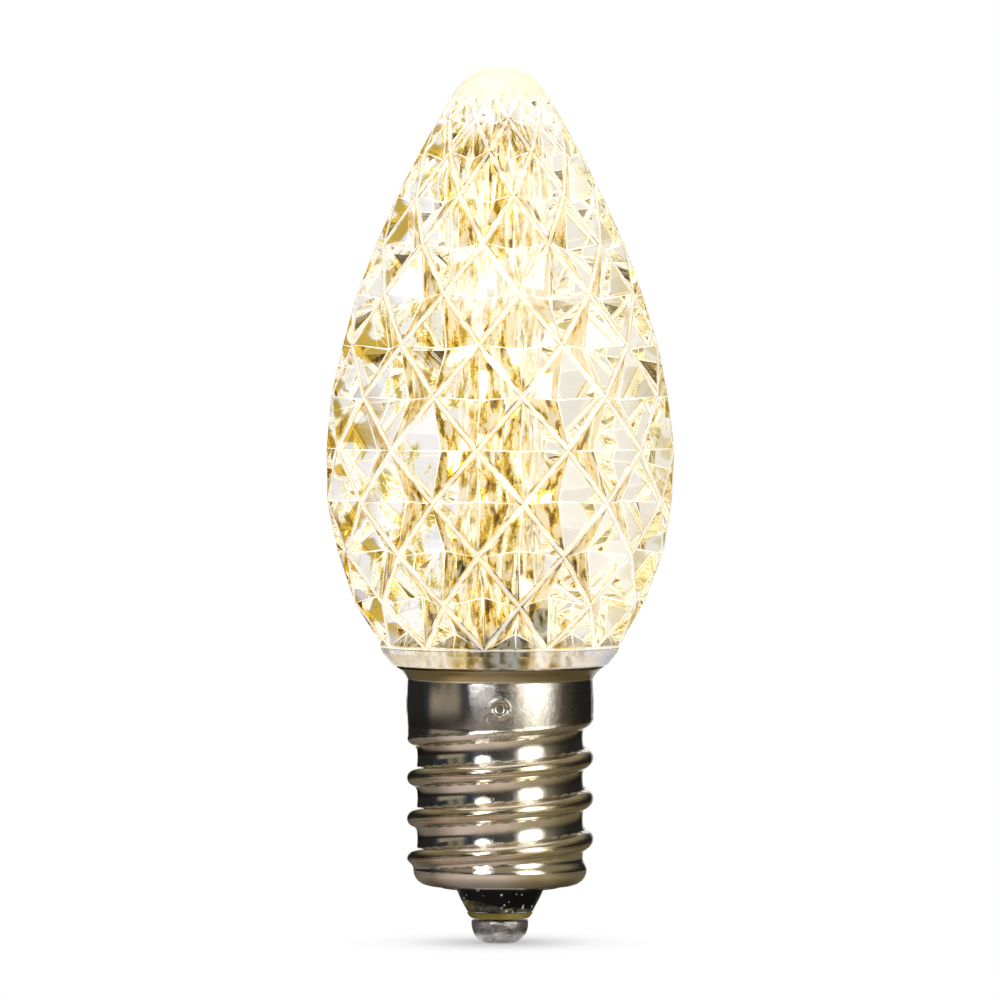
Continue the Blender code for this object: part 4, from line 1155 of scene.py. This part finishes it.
def add_insulator():
    shoulder = SHELL_FOOT + SHELL_WALL + NOMINAL_GAP
    face = SHELL_FOOT - FACE_DROP
    outline = [
        (EYELET_BORE, INSULATOR_TOP),
        (INSULATOR_RADIUS, INSULATOR_TOP),
        (INSULATOR_RADIUS, shoulder + RIM_ROUND),
        (INSULATOR_RADIUS - RIM_ROUND / 2, shoulder),
        (FACE_RADIUS, shoulder),
        (FACE_RADIUS, face),
    ]
    rows = 10
    for row in range(rows + 1):
        outline.append((BOSS_TOP_RADIUS - (BOSS_TOP_RADIUS - BOSS_FOOT_RADIUS) * row / rows,
                        face - (face - BOSS_FOOT) * row / rows))
    outline += [(EYELET_BORE, BOSS_FOOT), (EYELET_BORE, INSULATOR_TOP)]
    bm = spun(outline, ROUND_STEPS)
    roughen(bm, BOSS_FOOT + 0.01 * MM, face - 0.01 * MM, strength=0.06 * MM, scale=900.0)
    piece("glass_insulator", bm, [black_glass_material()], "root", ["insulator"],
          sharp_degrees=40)


add_insulator()

# The centre contact. A small drawn-brass eyelet, seated under the boss and stained by the
# amber flux that boiled out of it, and the drop of solder that closes it over the lead.

EYELET_FOOT, EYELET_TOP = (corner.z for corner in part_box("contact_eyelet"))
TIP_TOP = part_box("solder_tip")[1].z
EYELET_RADIUS = 2.05 * MM
TIP_RADIUS = 1.81 * MM
TIP_FOOT_RADIUS = 0.72 * MM
TUBE_RADIUS = 0.8 * MM
TUBE_BORE = 0.5 * MM


def flux_brass_material():
    """Brass under a glossy film of amber flux, darker where it tarnished."""
    material, tree, output = blank_material("flux_stained_brass")
    marks = marked(tree, 4000.0)
    colour = layered(tree, (0.40, 0.28, 0.05), (marks["Tarnish"], (0.16, 0.10, 0.02)),
                     (marks["Rubs"], (0.56, 0.44, 0.13)))
    surface(tree, output, colour, scaled(tree, marks["Specks"], 0.3, 0.2), marks["Rubs"], depth=0.04,
            strength=0.5, Metallic=0.45, Coat_Weight=0.6)
    return material


def add_contact():
    bm = spun([
        (TUBE_BORE, EYELET_TOP),
        (TUBE_RADIUS, EYELET_TOP),
        (TUBE_RADIUS, BOSS_FOOT - 0.1 * MM),
        (EYELET_RADIUS - 0.06 * MM, BOSS_FOOT - 0.04 * MM),
        (EYELET_RADIUS, BOSS_FOOT - 0.12 * MM),
        (EYELET_RADIUS - 0.08 * MM, (BOSS_FOOT + EYELET_FOOT) / 2 - 0.05 * MM),
        (TIP_RADIUS + 0.03 * MM, EYELET_FOOT + 0.02 * MM),
        (TIP_RADIUS - 0.1 * MM, EYELET_FOOT),
        (TUBE_BORE, EYELET_FOOT),
        (TUBE_BORE, EYELET_TOP),
    ], ROUND_STEPS)
    roughen(bm, EYELET_FOOT + 0.01 * MM, BOSS_FOOT - 0.01 * MM, strength=0.05 * MM, scale=1300.0)
    piece("stained_eyelet", bm, [flux_brass_material()], "root", ["contact_eyelet"],
          sharp_degrees=40)

    profile = [(0.0, TIP_TOP), (TIP_RADIUS - 0.1 * MM, TIP_TOP),
               (TIP_RADIUS - 0.02 * MM, TIP_TOP - 0.06 * MM)]
    for degrees in range(5, 90, 8):
        turn = math.radians(degrees)
        reach = TIP_FOOT_RADIUS + (TIP_RADIUS - TIP_FOOT_RADIUS) * math.cos(turn) ** 0.9
        profile.append((reach, TIP_TOP * (1 - math.sin(turn))))
    profile += [(TIP_FOOT_RADIUS, 0.0), (0.0, 0.0)]
    drop = spun(profile, ROUND_STEPS)
    roughen(drop, 0.02 * MM, TIP_TOP - 0.05 * MM, strength=0.07 * MM, scale=1100.0)
    piece("solder_drop", drop, [SOLDER], "root", ["solder_tip"], sharp_degrees=50)


add_contact()
